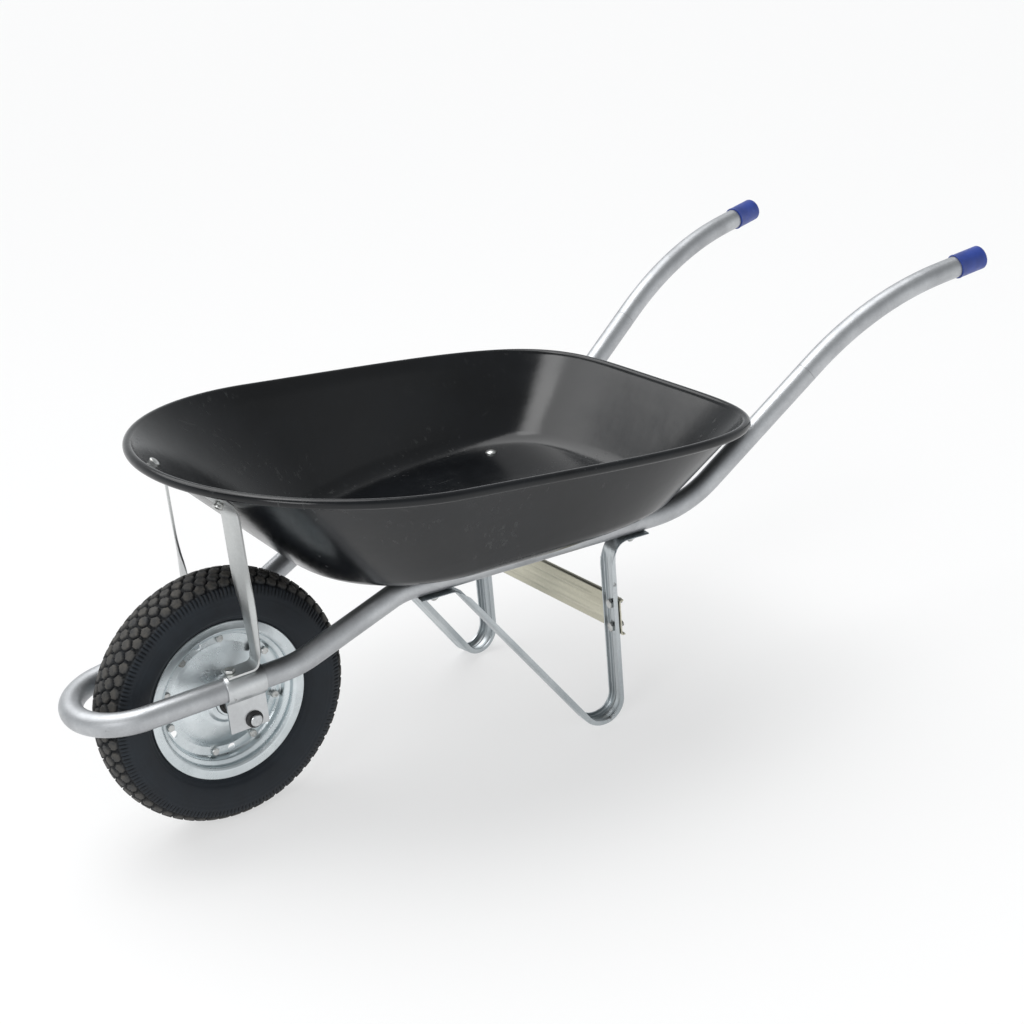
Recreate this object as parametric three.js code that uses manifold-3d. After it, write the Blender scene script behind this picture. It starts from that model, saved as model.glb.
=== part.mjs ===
// A single-wheel builder's wheelbarrow: one bent tube frame that loops round the front of the wheel, two
// handle tubes pushed onto it, a pressed steel tray, two strip legs with a cross brace, two front stays, and
// a two-piece steel wheel with a pneumatic tyre on a fixed axle.
//
// Millimetres, +Z up. X runs from the wheel towards the handles and Y to the user's right. The pieces are
// placed from the point on the ground under the axle; the whole barrow is moved at the end, so that its
// origin is the middle of its outline on the ground.

import * as THREE from 'three';
import { mergeVertices } from 'three/addons/utils/BufferGeometryUtils.js';
import Module from 'manifold-3d';

const wasm = await Module();
wasm.setup();

// ---- Driving dimensions -------------------------------------------------------------------------------

const GAP = 0.3; // left between pieces that touch

// Tyre and rim
const TYRE_DIAMETER = 368;
const TYRE_WIDTH = 80;
const TYRE_WALL = 6;
const RIM_FLANGE_DIAMETER = 232;
const RIM_WIDTH = 54.6;
const BEAD_SEAT_RADIUS = 101;
const WELL_RADIUS = 93.5;
const RIM_SHEET = 2;
const WELL_HALF_WIDTH = 13;
const BEAD_SEAT_START = 16.5; // from the middle plane of the rim
const DISC_INNER_RADIUS = 76; // where the flat ring of the disc turns into the cone
const DISC_FOLD = 3; // across the fold between the ring and the cone
const HUB_SEAM_INSET = 5; // from the end of the hub to the disc round it
const BEAD_WIDTH = 9;
const SIDEWALL_SHARE = 29 / 68; // of the way from the flange to the tread, where the tyre is widest
const TUBE_RUBBER = 2;
const TUBE_SLIT = 2;
const TUBE_INSIDE_TYRE = 3; // air between the inner tube and the side of the tyre
const TUBE_STAND = 2.5; // between the bead seats and the middle of the inner tube's rubber

// Hub and axle
const HUB_RADIUS = 21;
const HUB_WALL = 3;
const HUB_LENGTH = 62;
const BEARING_LENGTH = 14;
const BEARING_RECESS = 1.5;
const AXLE_RADIUS = 8.5;
const AXLE_END = 106; // from the middle to each end
const INSERT_RADIUS = 12;
const INSERT_LENGTH = 14;
const SPACER_RADIUS = 12.5;

// Wheel bolts, their places round the disc in degrees, and the lightening holes between them
const WHEEL_BOLT_CIRCLE = 84.5;
const WHEEL_BOLT_ANGLES = [30, 84, 127, 161, 194, 254, 296, 340];
const DISC_HOLE_ANGLES = [8, 106, 203, 272];
const DISC_HOLE_RADIUS = 6;
const VALVE_ANGLE = 46;
const VALVE_RADIUS = 4;
const VALVE_SIDES = 10;
const VALVE_OFFSET = 8.5; // from the middle plane of the rim
const VALVE_TIP = 74; // from the axle to the end of the cap
const VALVE_CAP_LENGTH = 8;

// Frame tube: each side lies in an upright plane that spreads from the wheel to the handles
const TUBE_RADIUS = 16.5;
const TUBE_WALL = 1.5;
const RAIL_SPREAD = Math.atan(0.13);
const RAIL_AT_AXLE = 95.4; // sideways, from the middle plane to the tube's centre line at the axle
const RAIL_HEIGHT = 305.5; // centre of the level run under the tray
const LOOP_AHEAD = 24.15; // from the front of the tyre to the tube's centre line round it
const AXLE_DROP = 55; // from the centre of the tube down to the axle
const FRONT_SLOPE = 0.05; // slope of the tube from the front of the loop to past the axle
const REAR_SLOPE = 0.693; // slope of the tube behind the tray
const AXLE_BEND = { along: 72, radius: 143 };
const TRAY_FRONT_BEND = { along: 233.5, radius: 90 };
const TRAY_REAR_BEND = { along: 699, radius: 178 };
const HANDLE_BEND = { along: 1048, radius: 540 };
const SEAM_ALONG = 925; // where the handle tube is pushed into the frame tube
const HANDLE_END_ALONG = 1260.5;
const HANDLE_RISE = 0.125;
const NECK_LENGTH = 60;
const NECK_COLLAR = 8;
const LOOP_STEPS = 10;
const GRIP_LENGTH = 50;
const GRIP_WALL = 1.8;
const GRIP_CORNER = 3;

// Tray: a flat floor and a rim, each with its own outline, joined by straight walls with a rounded foot.
// An outline runs from front to rear on X and is widest, by half to each side, near the middle; round and
// square are the powers of its front and rear curves, 2 being an ellipse.
const TRAY_SHEET = 1.6;
const BEAD_RADIUS = 7.5;
const RIM_LINE = {
  front: -43, middle: 248, rear: 800,
  frontHalf: 288, rearHalf: 312,
  round: 2.02, square: 4.8,
};
const FLOOR_LINE = {
  front: 174, middle: 330, rear: 676,
  frontHalf: 161, rearHalf: 230,
  round: 2.3, square: 4.1,
};
const RIM_HEIGHT_AT_AXLE = 526.1;
const RIM_FALL = 0.124;
const WALL_FOOT_RADIUS = 48;
const WALL_FOOT_SHARE = 0.5; // share of a wall's steps spent on its rounded foot
const TRAY_STEPS = 11; // outline steps in each quarter

// Legs and brace
const LEG_WIDTH = 34;
const LEG_SHEET = 2.5;
const LEG_FLANGE = 7;
const FOOT_RADIUS = 36;
const LEG_FRONT_TAB = { start: 256, end: 311, bend: 14 };
const LEG_BACK = 567; // along the rail, to the upright part
const LEG_REAR_TAB = { end: 626, bend: 22 };
const LEG_BOLTS_ALONG = [282, 603];
const LEG_TAB_STATIONS = 4; // stations of each tab, bend included, that have no flanges
const BRACE_SHEET = 2;
const BRACE_HEIGHT = 57;
const BRACE_MIDDLE = 167;
const BRACE_FLANGE = 6;
const BRACE_BOLT_SPACING = 38;
const BRACE_FOLD = 4; // past the edge of a leg, to where the brace turns to the other side

// Stays and axle brackets
const STAY_WIDTH = 30;
const STAY_SHEET = 3;
const STAY_FOOT = { start: -30, end: 14, bend: 9 };
const STAY_TOP_TURN = 0.77; // place round the front quarter of the rim, 0 at the side and 1 at the front
const STAY_TAB = 34;
const STAY_BOLT_SHARE = 0.45; // place of the bolt down the tab
const STAY_STAND = 0.9; // between the tab and the tray
const STAY_TAB_BELOW_RIM = 0.04; // share of the wall between the bead and the end of the tab
const STAY_BOLT_ALONG = -21;
const BRACKET_WALL = 2.8;
const BRACKET_PLATE = 5;
const BRACKET_START = -34;
const BRACKET_END = 21;
const BRACKET_BELOW_AXLE = 11.5;

// Fasteners, by nominal size
const M8 = { shank: 4, head: 6.8, headHeight: 5, nutHeight: 6.2, dome: 9, domeHeight: 4 };
const M6 = { shank: 3, head: 5, headHeight: 3.8, nutHeight: 4.6 };
const BOLT_CLEARANCE = 0.5; // hole radius less shank radius
const BOLT_SIDES = 8;
const THREAD_SHOWING = 3;

// Colours and finishes
const GALVANISED = { color: 0xb4babd, roughness: 0.42, metalness: 0.9 };
const ZINC = { color: 0xc6ced2, roughness: 0.3, metalness: 0.95 };
const YELLOW_ZINC = { color: 0xb9b49a, roughness: 0.45, metalness: 0.85 };
const BLACK_PAINT = { color: 0x14171b, roughness: 0.3, metalness: 0.1 };
const BLUE_PLASTIC = { color: 0x233c8c, roughness: 0.5, metalness: 0 };
const BLACK_PLASTIC = { color: 0x17181a, roughness: 0.6, metalness: 0 };
const RUBBER = { color: 0x23262b, roughness: 0.85, metalness: 0 };

// ---- Worked-out sizes ---------------------------------------------------------------------------------

const AXLE_HEIGHT = TYRE_DIAMETER / 2;
const AXLE_RUN_HEIGHT = AXLE_HEIGHT + AXLE_DROP;
const FLANGE_RADIUS = RIM_FLANGE_DIAMETER / 2;
// Radius at a share of the way from the rim's flange to the tread.
const upTyre = (share) => FLANGE_RADIUS + share * (TYRE_DIAMETER / 2 - FLANGE_RADIUS);
const TRAY_UNDERSIDE = RAIL_HEIGHT + TUBE_RADIUS + GAP;
const LEG_TAB_HEIGHT = RAIL_HEIGHT - TUBE_RADIUS - GAP - LEG_SHEET / 2;
const SIDES = { left: -1, right: 1 };
const ROUND = 14; // sides of a round tube or rod
const WHEEL_STEPS = 24;
const INNER_TUBE_STEPS = 16;
const FULL_TURN = Math.PI * 2;
const DEGREE = Math.PI / 180;

// ---- Helpers ------------------------------------------------------------------------------------------

const vec = (x, y, z) => new THREE.Vector3(x, y, z);

// Radius of a bore with flat sides, so that even its flats clear a round piece of the given radius.
const boreRadius = (radius, sides = ROUND) => radius / Math.cos(Math.PI / sides);

// A welded, closed mesh as a solid for cutting and joining.
function solidOf(geometry) {
  const bare = geometry.clone();
  bare.deleteAttribute('normal');
  bare.deleteAttribute('uv');
  const welded = mergeVertices(bare, 1e-4);
  const corners = welded.index.array;
  const kept = [];
  for (let i = 0; i < corners.length; i += 3) {
    const [a, b, c] = [corners[i], corners[i + 1], corners[i + 2]];
    if (a !== b && b !== c && c !== a) kept.push(a, b, c);
  }
  const vertProperties = welded.attributes.position.array;
  return new wasm.Manifold(new wasm.Mesh({ numProp: 3, vertProperties, triVerts: new Uint32Array(kept) }));
}

function geometryOf(solid) {
  const mesh = solid.getMesh();
  const geometry = new THREE.BufferGeometry();
  geometry.setAttribute('position', new THREE.BufferAttribute(mesh.vertProperties, mesh.numProp));
  geometry.setIndex(new THREE.BufferAttribute(mesh.triVerts, 1));
  geometry.computeVertexNormals();
  return geometry;
}

function cut(geometry, cutters) {
  let solid = solidOf(geometry);
  for (const cutter of cutters) solid = solid.subtract(solidOf(cutter));
  return geometryOf(solid);
}

function join(geometries) {
  const [first, ...rest] = geometries.map(solidOf);
  return geometryOf(rest.reduce((whole, piece) => whole.add(piece), first));
}

// A body turned about the Y axis from [radius, place along Y] points.
function turned(points, steps = ROUND) {
  const profile = points.map(([radius, along]) => new THREE.Vector2(radius, along));
  if (THREE.ShapeUtils.isClockWise(profile)) profile.reverse();
  const onAxis = profile[0].x === 0;
  if (!onAxis) profile.push(profile[0].clone());
  return new THREE.LatheGeometry(profile, steps);
}

// A hollow or solid rod along Y between two places.
function rod(radius, from, to, bore = 0, steps = ROUND) {
  if (bore > 0) return turned([[bore, from], [radius, from], [radius, to], [bore, to]], steps);
  return turned([[0, from], [radius, from], [radius, to], [0, to]], steps);
}

// Turns a piece built along Y to stand along the given direction, and moves it.
function along(geometry, direction, place) {
  const turn = new THREE.Quaternion().setFromUnitVectors(vec(0, 1, 0), direction.clone().normalize());
  return geometry.clone().applyQuaternion(turn).translate(place.x, place.y, place.z);
}

// A cutter for a bolt hole through a place, reaching the same distance both ways.
function drill(place, direction, reach, size = M8) {
  const radius = boreRadius(size.shank + BOLT_CLEARANCE, BOLT_SIDES);
  return along(rod(radius, -reach, reach, 0, BOLT_SIDES), direction, place);
}

// Points of a bent line: straight runs between [x, y] corners, each corner rounded to its own radius.
function rounded(corners, stepAngle = 15 * DEGREE) {
  const points = [];
  corners.forEach(({ at, radius = 0 }, i) => {
    const corner = new THREE.Vector2(...at);
    if (!radius) {
      points.push(corner);
      return;
    }
    const before = new THREE.Vector2(...corners[i - 1].at).sub(corner).normalize();
    const after = new THREE.Vector2(...corners[i + 1].at).sub(corner).normalize();
    const half = Math.acos(THREE.MathUtils.clamp(before.dot(after), -1, 1)) / 2;
    const reach = radius / Math.tan(half);
    const centre = before.clone().add(after).normalize().multiplyScalar(radius / Math.sin(half)).add(corner);
    const start = before.clone().multiplyScalar(reach).add(corner).sub(centre);
    const end = after.clone().multiplyScalar(reach).add(corner).sub(centre);
    const sweep = Math.atan2(start.cross(end), start.dot(end));
    const steps = Math.max(2, Math.ceil(Math.abs(sweep) / stepAngle));
    for (let k = 0; k <= steps; k += 1) {
      const angle = Math.atan2(start.y, start.x) + (sweep * k) / steps;
      points.push(new THREE.Vector2(Math.cos(angle), Math.sin(angle)).multiplyScalar(radius).add(centre));
    }
  });
  return points;
}

// A path through chosen stations, one step of the extrusion to each.
class StationPath extends THREE.Curve {
  constructor(stations) {
    super();
    this.stations = stations;
  }

  getPoint(share, target = new THREE.Vector3()) {
    return target.copy(this.stations[Math.round(share * (this.stations.length - 1))]);
  }

  getPointAt(share, target) {
    return this.getPoint(share, target);
  }

  getTangentAt(share, target = new THREE.Vector3()) {
    const last = this.stations.length - 1;
    const i = Math.round(share * last);
    const ahead = this.stations[Math.min(i + 1, last)].clone().sub(this.stations[i]).normalize();
    const behind = this.stations[i].clone().sub(this.stations[Math.max(i - 1, 0)]).normalize();
    return target.copy(ahead).add(behind).normalize();
  }
}

// A round tube, or a solid bar when the bore is 0, through the given stations.
function tube(stations, radius, bore = 0) {
  const section = new THREE.Shape().absarc(0, 0, radius, 0, FULL_TURN, false);
  if (bore > 0) section.holes.push(new THREE.Path().absarc(0, 0, bore, 0, FULL_TURN, true));
  return new THREE.ExtrudeGeometry(section, {
    steps: stations.length - 1,
    curveSegments: ROUND / 2, // a full circle takes two for each
    bevelEnabled: false,
    extrudePath: new StationPath(stations),
  });
}

// A closed skin over a row of matching rings of points, with flat ends.
function skin(rings, endTriangles) {
  const count = rings[0].length;
  const index = [];
  for (let r = 0; r < rings.length - 1; r += 1) {
    for (let i = 0; i < count; i += 1) {
      const [a, b] = [r * count + i, r * count + ((i + 1) % count)];
      index.push(a, b, b + count, a, b + count, a + count);
    }
  }
  const last = (rings.length - 1) * count;
  for (const [a, b, c] of endTriangles) index.push(a, c, b, last + a, last + b, last + c);
  const points = rings.flat();
  const geometry = new THREE.BufferGeometry();
  geometry.setAttribute('position', new THREE.Float32BufferAttribute(points.flatMap((p) => p.toArray()), 3));
  geometry.setIndex(volumeOf(points, index) < 0 ? index.reverse() : index);
  return geometry;
}

// Triangles that close a flat outline, wound the same way as the outline.
function endTrianglesOf(outline) {
  const triangles = THREE.ShapeUtils.triangulateShape(outline, []);
  return THREE.ShapeUtils.isClockWise(outline) ? triangles.map(([a, b, c]) => [a, c, b]) : triangles;
}

function volumeOf(points, index) {
  let total = 0;
  for (let i = 0; i < index.length; i += 3) {
    const [a, b, c] = [points[index[i]], points[index[i + 1]], points[index[i + 2]]];
    total += a.dot(b.clone().cross(c));
  }
  return total / 6;
}

// A strip with a constant or changing outline, carried through stations of {place, across, normal, outline}.
function strip(stations) {
  const rings = stations.map(({ place, across, normal, outline }) =>
    outline.map(([w, n]) => place.clone().addScaledVector(across, w).addScaledVector(normal, n)));
  const flat = stations[0].outline.map(([w, n]) => new THREE.Vector2(w, n));
  return skin(rings, endTrianglesOf(flat));
}

// Unit direction of a row of points at one of them.
function directionAt(points, i) {
  const ahead = points[Math.min(i + 1, points.length - 1)].clone().sub(points[i]).normalize();
  const behind = points[i].clone().sub(points[Math.max(i - 1, 0)]).normalize();
  return ahead.add(behind).normalize();
}

// The outline of sheet metal that follows a row of 2D points, with half its thickness on each side.
function sheetOutline(points, thickness) {
  const line = points.map((p) => new THREE.Vector2(...p));
  const sideways = line.map((p, i) => {
    const direction = directionAt(line, i);
    const neighbour = line[i + 1] ?? line[i - 1];
    const run = neighbour.clone().sub(p).normalize();
    const stretch = 1 / Math.max(0.5, Math.abs(direction.dot(run)));
    return new THREE.Vector2(-direction.y, direction.x).multiplyScalar((thickness / 2) * stretch);
  });
  const near = line.map((p, i) => p.clone().add(sideways[i]).toArray());
  const far = line.map((p, i) => p.clone().sub(sideways[i]).toArray());
  return [...near, ...far.reverse()];
}

const outlineShape = (points) => new THREE.Shape(points.map(([x, y]) => new THREE.Vector2(x, y)));

// A hexagonal prism along Y.
const hexagon = (radius, from, to) => rod(radius / Math.cos(Math.PI / 6), from, to, 0, 6);

const barrow = new THREE.Group();
barrow.name = 'wheelbarrow';

function piece(name, geometry, finish, parent = barrow) {
  const mesh = new THREE.Mesh(geometry, new THREE.MeshStandardMaterial(finish));
  mesh.name = name;
  parent.add(mesh);
  return mesh;
}

// ---- The frame's lines --------------------------------------------------------------------------------

// Each rail's own frame: u along the rail from the axle, v across it, z up.
function railFrame(side) {
  const frame = new THREE.Group();
  frame.position.y = side * RAIL_AT_AXLE;
  frame.rotation.z = side * RAIL_SPREAD;
  frame.updateMatrix();
  return frame;
}

const railPoint = (side, u, z) => vec(u, 0, z).applyMatrix4(railFrame(side).matrix);
const rearHeight = (u) => RAIL_HEIGHT + REAR_SLOPE * (u - TRAY_REAR_BEND.along);
const frontHeight = (u) => AXLE_RUN_HEIGHT + FRONT_SLOPE * u;
const FRONT_DOWN = vec(FRONT_SLOPE, 0, -1).normalize(); // square to the front run, in the rail's own frame
const DOWN = vec(0, 0, -1);

// Straight out from the tube's centre line, over the place of the bolt through a stay's foot.
function overTube(distance) {
  const centre = vec(STAY_BOLT_ALONG, 0, frontHeight(STAY_BOLT_ALONG));
  return centre.addScaledVector(FRONT_DOWN, -distance);
}

// Where the loop round the wheel meets the straight run, along the rail, and the loop's centre on X.
const LOOP_FRONT = TYRE_DIAMETER / 2 + LOOP_AHEAD;
const SPREAD_AT_FRONT = RAIL_AT_AXLE * Math.cos(RAIL_SPREAD) - LOOP_FRONT * Math.sin(RAIL_SPREAD);
const LOOP_RADIUS = SPREAD_AT_FRONT / (1 - Math.sin(RAIL_SPREAD));
const LOOP_CENTRE = LOOP_RADIUS - LOOP_FRONT;
const LOOP_START = LOOP_CENTRE * Math.cos(RAIL_SPREAD) - RAIL_AT_AXLE * Math.sin(RAIL_SPREAD);

// [u, z] of one side of the frame tube, from the seam to the start of the loop.
const railLine = () => rounded([
  { at: [SEAM_ALONG - GAP, rearHeight(SEAM_ALONG - GAP)] },
  { at: [TRAY_REAR_BEND.along, RAIL_HEIGHT], radius: TRAY_REAR_BEND.radius },
  { at: [TRAY_FRONT_BEND.along, RAIL_HEIGHT], radius: TRAY_FRONT_BEND.radius },
  { at: [AXLE_BEND.along, frontHeight(AXLE_BEND.along)], radius: AXLE_BEND.radius },
  { at: [LOOP_START, frontHeight(LOOP_START)] },
]);

// [u, z] of a handle tube, from the seam to its end inside the grip.
const handleLine = () => {
  const bendHeight = rearHeight(HANDLE_BEND.along);
  const end = HANDLE_END_ALONG - GRIP_WALL - GAP;
  return rounded([
    { at: [SEAM_ALONG, rearHeight(SEAM_ALONG)] },
    { at: [HANDLE_BEND.along, bendHeight], radius: HANDLE_BEND.radius },
    { at: [end, bendHeight + HANDLE_RISE * (end - HANDLE_BEND.along)] },
  ], 5 * DEGREE);
};

function loopStations() {
  const sweep = Math.PI - 2 * RAIL_SPREAD;
  const stations = [];
  for (let k = 1; k < LOOP_STEPS; k += 1) {
    const angle = -Math.PI / 2 - RAIL_SPREAD - (sweep * k) / LOOP_STEPS;
    const x = LOOP_CENTRE + LOOP_RADIUS * Math.cos(angle);
    stations.push(vec(x, LOOP_RADIUS * Math.sin(angle), frontHeight(x)));
  }
  return stations;
}

// ---- Frame tube, handles and grips --------------------------------------------------------------------

function frameTube() {
  const leftSide = railLine().map((p) => railPoint(SIDES.left, p.x, p.y));
  const rightSide = railLine().map((p) => railPoint(SIDES.right, p.x, p.y)).reverse();
  const body = tube([...leftSide, ...loopStations(), ...rightSide], TUBE_RADIUS, TUBE_RADIUS - TUBE_WALL);
  const holes = [];
  for (const side of Object.values(SIDES)) {
    const through = 2 * TUBE_RADIUS;
    for (const u of LEG_BOLTS_ALONG) holes.push(drill(railPoint(side, u, RAIL_HEIGHT), DOWN, through));
    const footHole = drill(overTube(TUBE_RADIUS), FRONT_DOWN, TUBE_RADIUS / 2);
    holes.push(footHole.applyMatrix4(railFrame(side).matrix));
  }
  return cut(body, holes);
}

function handleTube(side) {
  const stations = handleLine().map((p) => railPoint(side, p.x, p.y));
  const body = tube(stations, TUBE_RADIUS, TUBE_RADIUS - TUBE_WALL);
  const bore = TUBE_RADIUS - TUBE_WALL;
  const neckRadius = bore - 2 * GAP;
  const inside = neckRadius - TUBE_WALL;
  const collarRadius = bore + TUBE_WALL / 2;
  const neck = turned([
    [inside, -NECK_LENGTH], [neckRadius, -NECK_LENGTH], [neckRadius, GAP],
    [collarRadius, GAP], [collarRadius, NECK_COLLAR], [inside, NECK_COLLAR],
  ]);
  const direction = stations[1].clone().sub(stations[0]);
  return join([body, along(neck, direction, stations[0])]);
}

function grip(side) {
  const ends = handleLine().slice(-2).map((p) => railPoint(side, p.x, p.y));
  const direction = ends[1].clone().sub(ends[0]);
  const bore = boreRadius(TUBE_RADIUS + GAP);
  const outside = bore + GRIP_WALL;
  const closed = GAP + GRIP_WALL;
  const bevel = GRIP_CORNER / 3;
  const cap = turned([
    [0, GAP], [bore, GAP], [bore, closed - GRIP_LENGTH], [outside, closed - GRIP_LENGTH],
    [outside, closed - GRIP_CORNER], [outside - bevel, closed - bevel],
    [outside - GRIP_CORNER, closed], [0, closed],
  ]);
  return along(cap, direction, ends[1]);
}

// ---- Tray ---------------------------------------------------------------------------------------------

// A point of an outline; turn runs 0 to 4 round it in quarters from the left side by way of the front.
function outlinePoint(line, turn) {
  const quarter = Math.floor(turn) % 4;
  const share = turn - Math.floor(turn);
  const toEnd = quarter % 2 === 0;
  const angle = (toEnd ? share : 1 - share) * (Math.PI / 2);
  const front = quarter < 2;
  const power = 2 / (front ? line.round : line.square);
  const endPlace = front ? line.front : line.rear;
  const x = line.middle + (endPlace - line.middle) * Math.sin(angle) ** power;
  const half = THREE.MathUtils.mapLinear(x, line.front, line.rear, line.frontHalf, line.rearHalf);
  const side = quarter === 0 || quarter === 3 ? -1 : 1;
  return new THREE.Vector2(x, side * half * Math.max(Math.cos(angle), 0) ** power);
}

const rimHeight = (x) => RIM_HEIGHT_AT_AXLE - RIM_FALL * x;

// A point of the tray's underside; rise runs from 0 at the floor, round the wall's foot, to 1 at the rim.
function wallPoint(turn, rise) {
  const floor = outlinePoint(FLOOR_LINE, turn);
  const rim = outlinePoint(RIM_LINE, turn);
  const spread = floor.distanceTo(rim);
  const climb = rimHeight(rim.x) - TRAY_UNDERSIDE;
  const reach = Math.hypot(spread, climb - WALL_FOOT_RADIUS);
  const slope = Math.atan2(climb - WALL_FOOT_RADIUS, spread) + Math.asin(WALL_FOOT_RADIUS / reach);
  const bent = slope * Math.min(rise / WALL_FOOT_SHARE, 1);
  const straight = Math.sqrt(reach ** 2 - WALL_FOOT_RADIUS ** 2);
  const run = straight * Math.max((rise - WALL_FOOT_SHARE) / (1 - WALL_FOOT_SHARE), 0);
  const out = WALL_FOOT_RADIUS * Math.sin(bent) + run * Math.cos(slope);
  const up = WALL_FOOT_RADIUS * (1 - Math.cos(bent)) + run * Math.sin(slope);
  const plan = floor.lerp(rim, out / spread);
  return vec(plan.x, plan.y, TRAY_UNDERSIDE + up);
}

// Unit directions at a point of the wall: along the outline, up the wall, and out of the tray.
function wallDirections(turn, rise, step = 0.01) {
  const small = 0.01;
  const level = wallPoint(turn + step, rise).sub(wallPoint(turn + 4 - step, rise)).normalize();
  const upward = wallPoint(turn, Math.min(rise + small, 1)).sub(wallPoint(turn, Math.max(rise - small, 0)));
  upward.normalize();
  const outward = level.clone().cross(upward).normalize();
  if (outward.z > 0) outward.negate();
  return { level, upward, outward };
}

function tray() {
  const rises = [0, 1 / 3, 2 / 3, 1].map((share) => share * WALL_FOOT_SHARE);
  rises.push((1 + WALL_FOOT_SHARE) / 2, 1);
  const curlOutside = [150, 85, 20, -55, -125]; // degrees round the bead, from its inner side over the top
  const curlInside = curlOutside.slice(1).reverse();
  const turns = Array.from({ length: 4 * TRAY_STEPS }, (_, i) => i / TRAY_STEPS);
  const curlPoint = (turn, degrees, radius) => {
    const edge = wallPoint(turn, 1);
    const { level } = wallDirections(turn, 1);
    const out = vec(-level.y, level.x, 0).normalize();
    if (out.x * (edge.x - RIM_LINE.middle) + out.y * edge.y < 0) out.negate();
    const angle = degrees * DEGREE;
    edge.addScaledVector(out, BEAD_RADIUS + radius * Math.cos(angle));
    return edge.add(vec(0, 0, radius * Math.sin(angle)));
  };
  const insideOf = (turn, rise) => {
    const inward = rise === 0 ? vec(0, 0, 1) : wallDirections(turn, rise).outward.negate();
    return wallPoint(turn, rise).addScaledVector(inward, TRAY_SHEET);
  };
  const ringOf = (makePoint) => turns.map(makePoint);
  const rings = [
    ...rises.map((rise) => ringOf((turn) => insideOf(turn, rise))),
    ...curlOutside.map((degrees) => ringOf((turn) => curlPoint(turn, degrees, BEAD_RADIUS))),
    ...curlInside.map((degrees) => ringOf((turn) => curlPoint(turn, degrees, BEAD_RADIUS - TRAY_SHEET))),
    ...rises.toReversed().map((rise) => ringOf((turn) => wallPoint(turn, rise))),
  ];
  const flat = turns.map((turn) => outlinePoint(FLOOR_LINE, turn));
  const shell = skin(rings, endTrianglesOf(flat));
  const holes = [];
  for (const side of Object.values(SIDES)) {
    for (const u of LEG_BOLTS_ALONG) holes.push(drill(railPoint(side, u, TRAY_UNDERSIDE), DOWN, TUBE_RADIUS));
    const { place, outward } = stayTabBolt(side);
    holes.push(drill(place, outward, 4 * STAY_SHEET));
  }
  return cut(shell, holes);
}

// ---- Front stays --------------------------------------------------------------------------------------

// The tray's wall is flat between two steps of its outline; a stay stands in the middle of such a flat.
const HALF_STEP = 0.5 / TRAY_STEPS;
const stayTurn = (side) => {
  const turn = Math.floor(STAY_TOP_TURN * TRAY_STEPS) / TRAY_STEPS + HALF_STEP;
  return side < 0 ? turn : 2 - turn;
};

// The tab at the top of a stay lies on the outside of the tray's front wall, just under the rim.
function stayTab(side) {
  const turn = stayTurn(side);
  const rise = 1 - STAY_TAB_BELOW_RIM;
  const { level, upward, outward } = wallDirections(turn, rise, HALF_STEP);
  const flat = wallPoint(turn - HALF_STEP, rise).lerp(wallPoint(turn + HALF_STEP, rise), 0.5);
  const top = flat.addScaledVector(outward, STAY_STAND + STAY_SHEET / 2);
  const bottom = top.clone().addScaledVector(upward, -STAY_TAB);
  return { level, upward, outward, top, bottom };
}

function stayTabBolt(side) {
  const { outward, top, bottom } = stayTab(side);
  return { outward, place: top.clone().lerp(bottom, STAY_BOLT_SHARE) };
}

function stay(side) {
  const { level, outward, top, bottom } = stayTab(side);
  const onSaddle = (u) => railPoint(side, u, frontHeight(u) + saddleHeight() + STAY_SHEET / 2);
  const toe = onSaddle(STAY_FOOT.start);
  const heel = onSaddle(STAY_FOOT.end);
  const railAcross = vec(0, 1, 0).applyAxisAngle(vec(0, 0, 1), side * RAIL_SPREAD);
  const tabAcross = level.dot(railAcross) < 0 ? level.clone().negate() : level;
  const rise = bottom.clone().sub(heel).normalize();
  const heelEnd = heel.clone().addScaledVector(rise, STAY_FOOT.bend);
  const heelStart = heel.clone().lerp(toe, STAY_FOOT.bend / heel.distanceTo(toe));
  const neck = bottom.clone().addScaledVector(rise, -STAY_FOOT.bend);
  const points = [toe, heelStart, heel.clone().lerp(heelStart, 0.3).lerp(heelEnd, 0.25), heelEnd];
  const shares = [0, 0, 0, 0];
  for (const share of [0.25, 0.5, 0.75]) {
    points.push(heelEnd.clone().lerp(neck, share));
    shares.push(share);
  }
  points.push(neck, bottom.clone().lerp(top, 0.12), bottom.clone().lerp(top, 0.25), top);
  shares.push(1, 1, 1, 1);
  const half = STAY_SHEET / 2;
  const wide = STAY_WIDTH / 2;
  const outline = [[-wide, -half], [wide, -half], [wide, half], [-wide, half]];
  const stations = points.map((place, i) => {
    const across = railAcross.clone().lerp(tabAcross, shares[i]).normalize();
    const normal = directionAt(points, i).cross(across).normalize();
    across.crossVectors(normal, directionAt(points, i)).normalize();
    return { place, across, normal, outline };
  });
  const footDown = FRONT_DOWN.clone().transformDirection(railFrame(side).matrix);
  const footPlace = overTube(saddleHeight() + STAY_SHEET / 2).applyMatrix4(railFrame(side).matrix);
  const footHole = drill(footPlace, footDown, 3 * STAY_SHEET);
  return cut(strip(stations), [footHole, drill(stayTabBolt(side).place, outward, 3 * STAY_SHEET)]);
}

// ---- Axle brackets ------------------------------------------------------------------------------------

const BRACKET_RADIUS = TUBE_RADIUS + GAP + BRACKET_WALL;

// From the tube's centre line to the underside of a stay's foot.
const saddleHeight = () => BRACKET_RADIUS + GAP;

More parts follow.
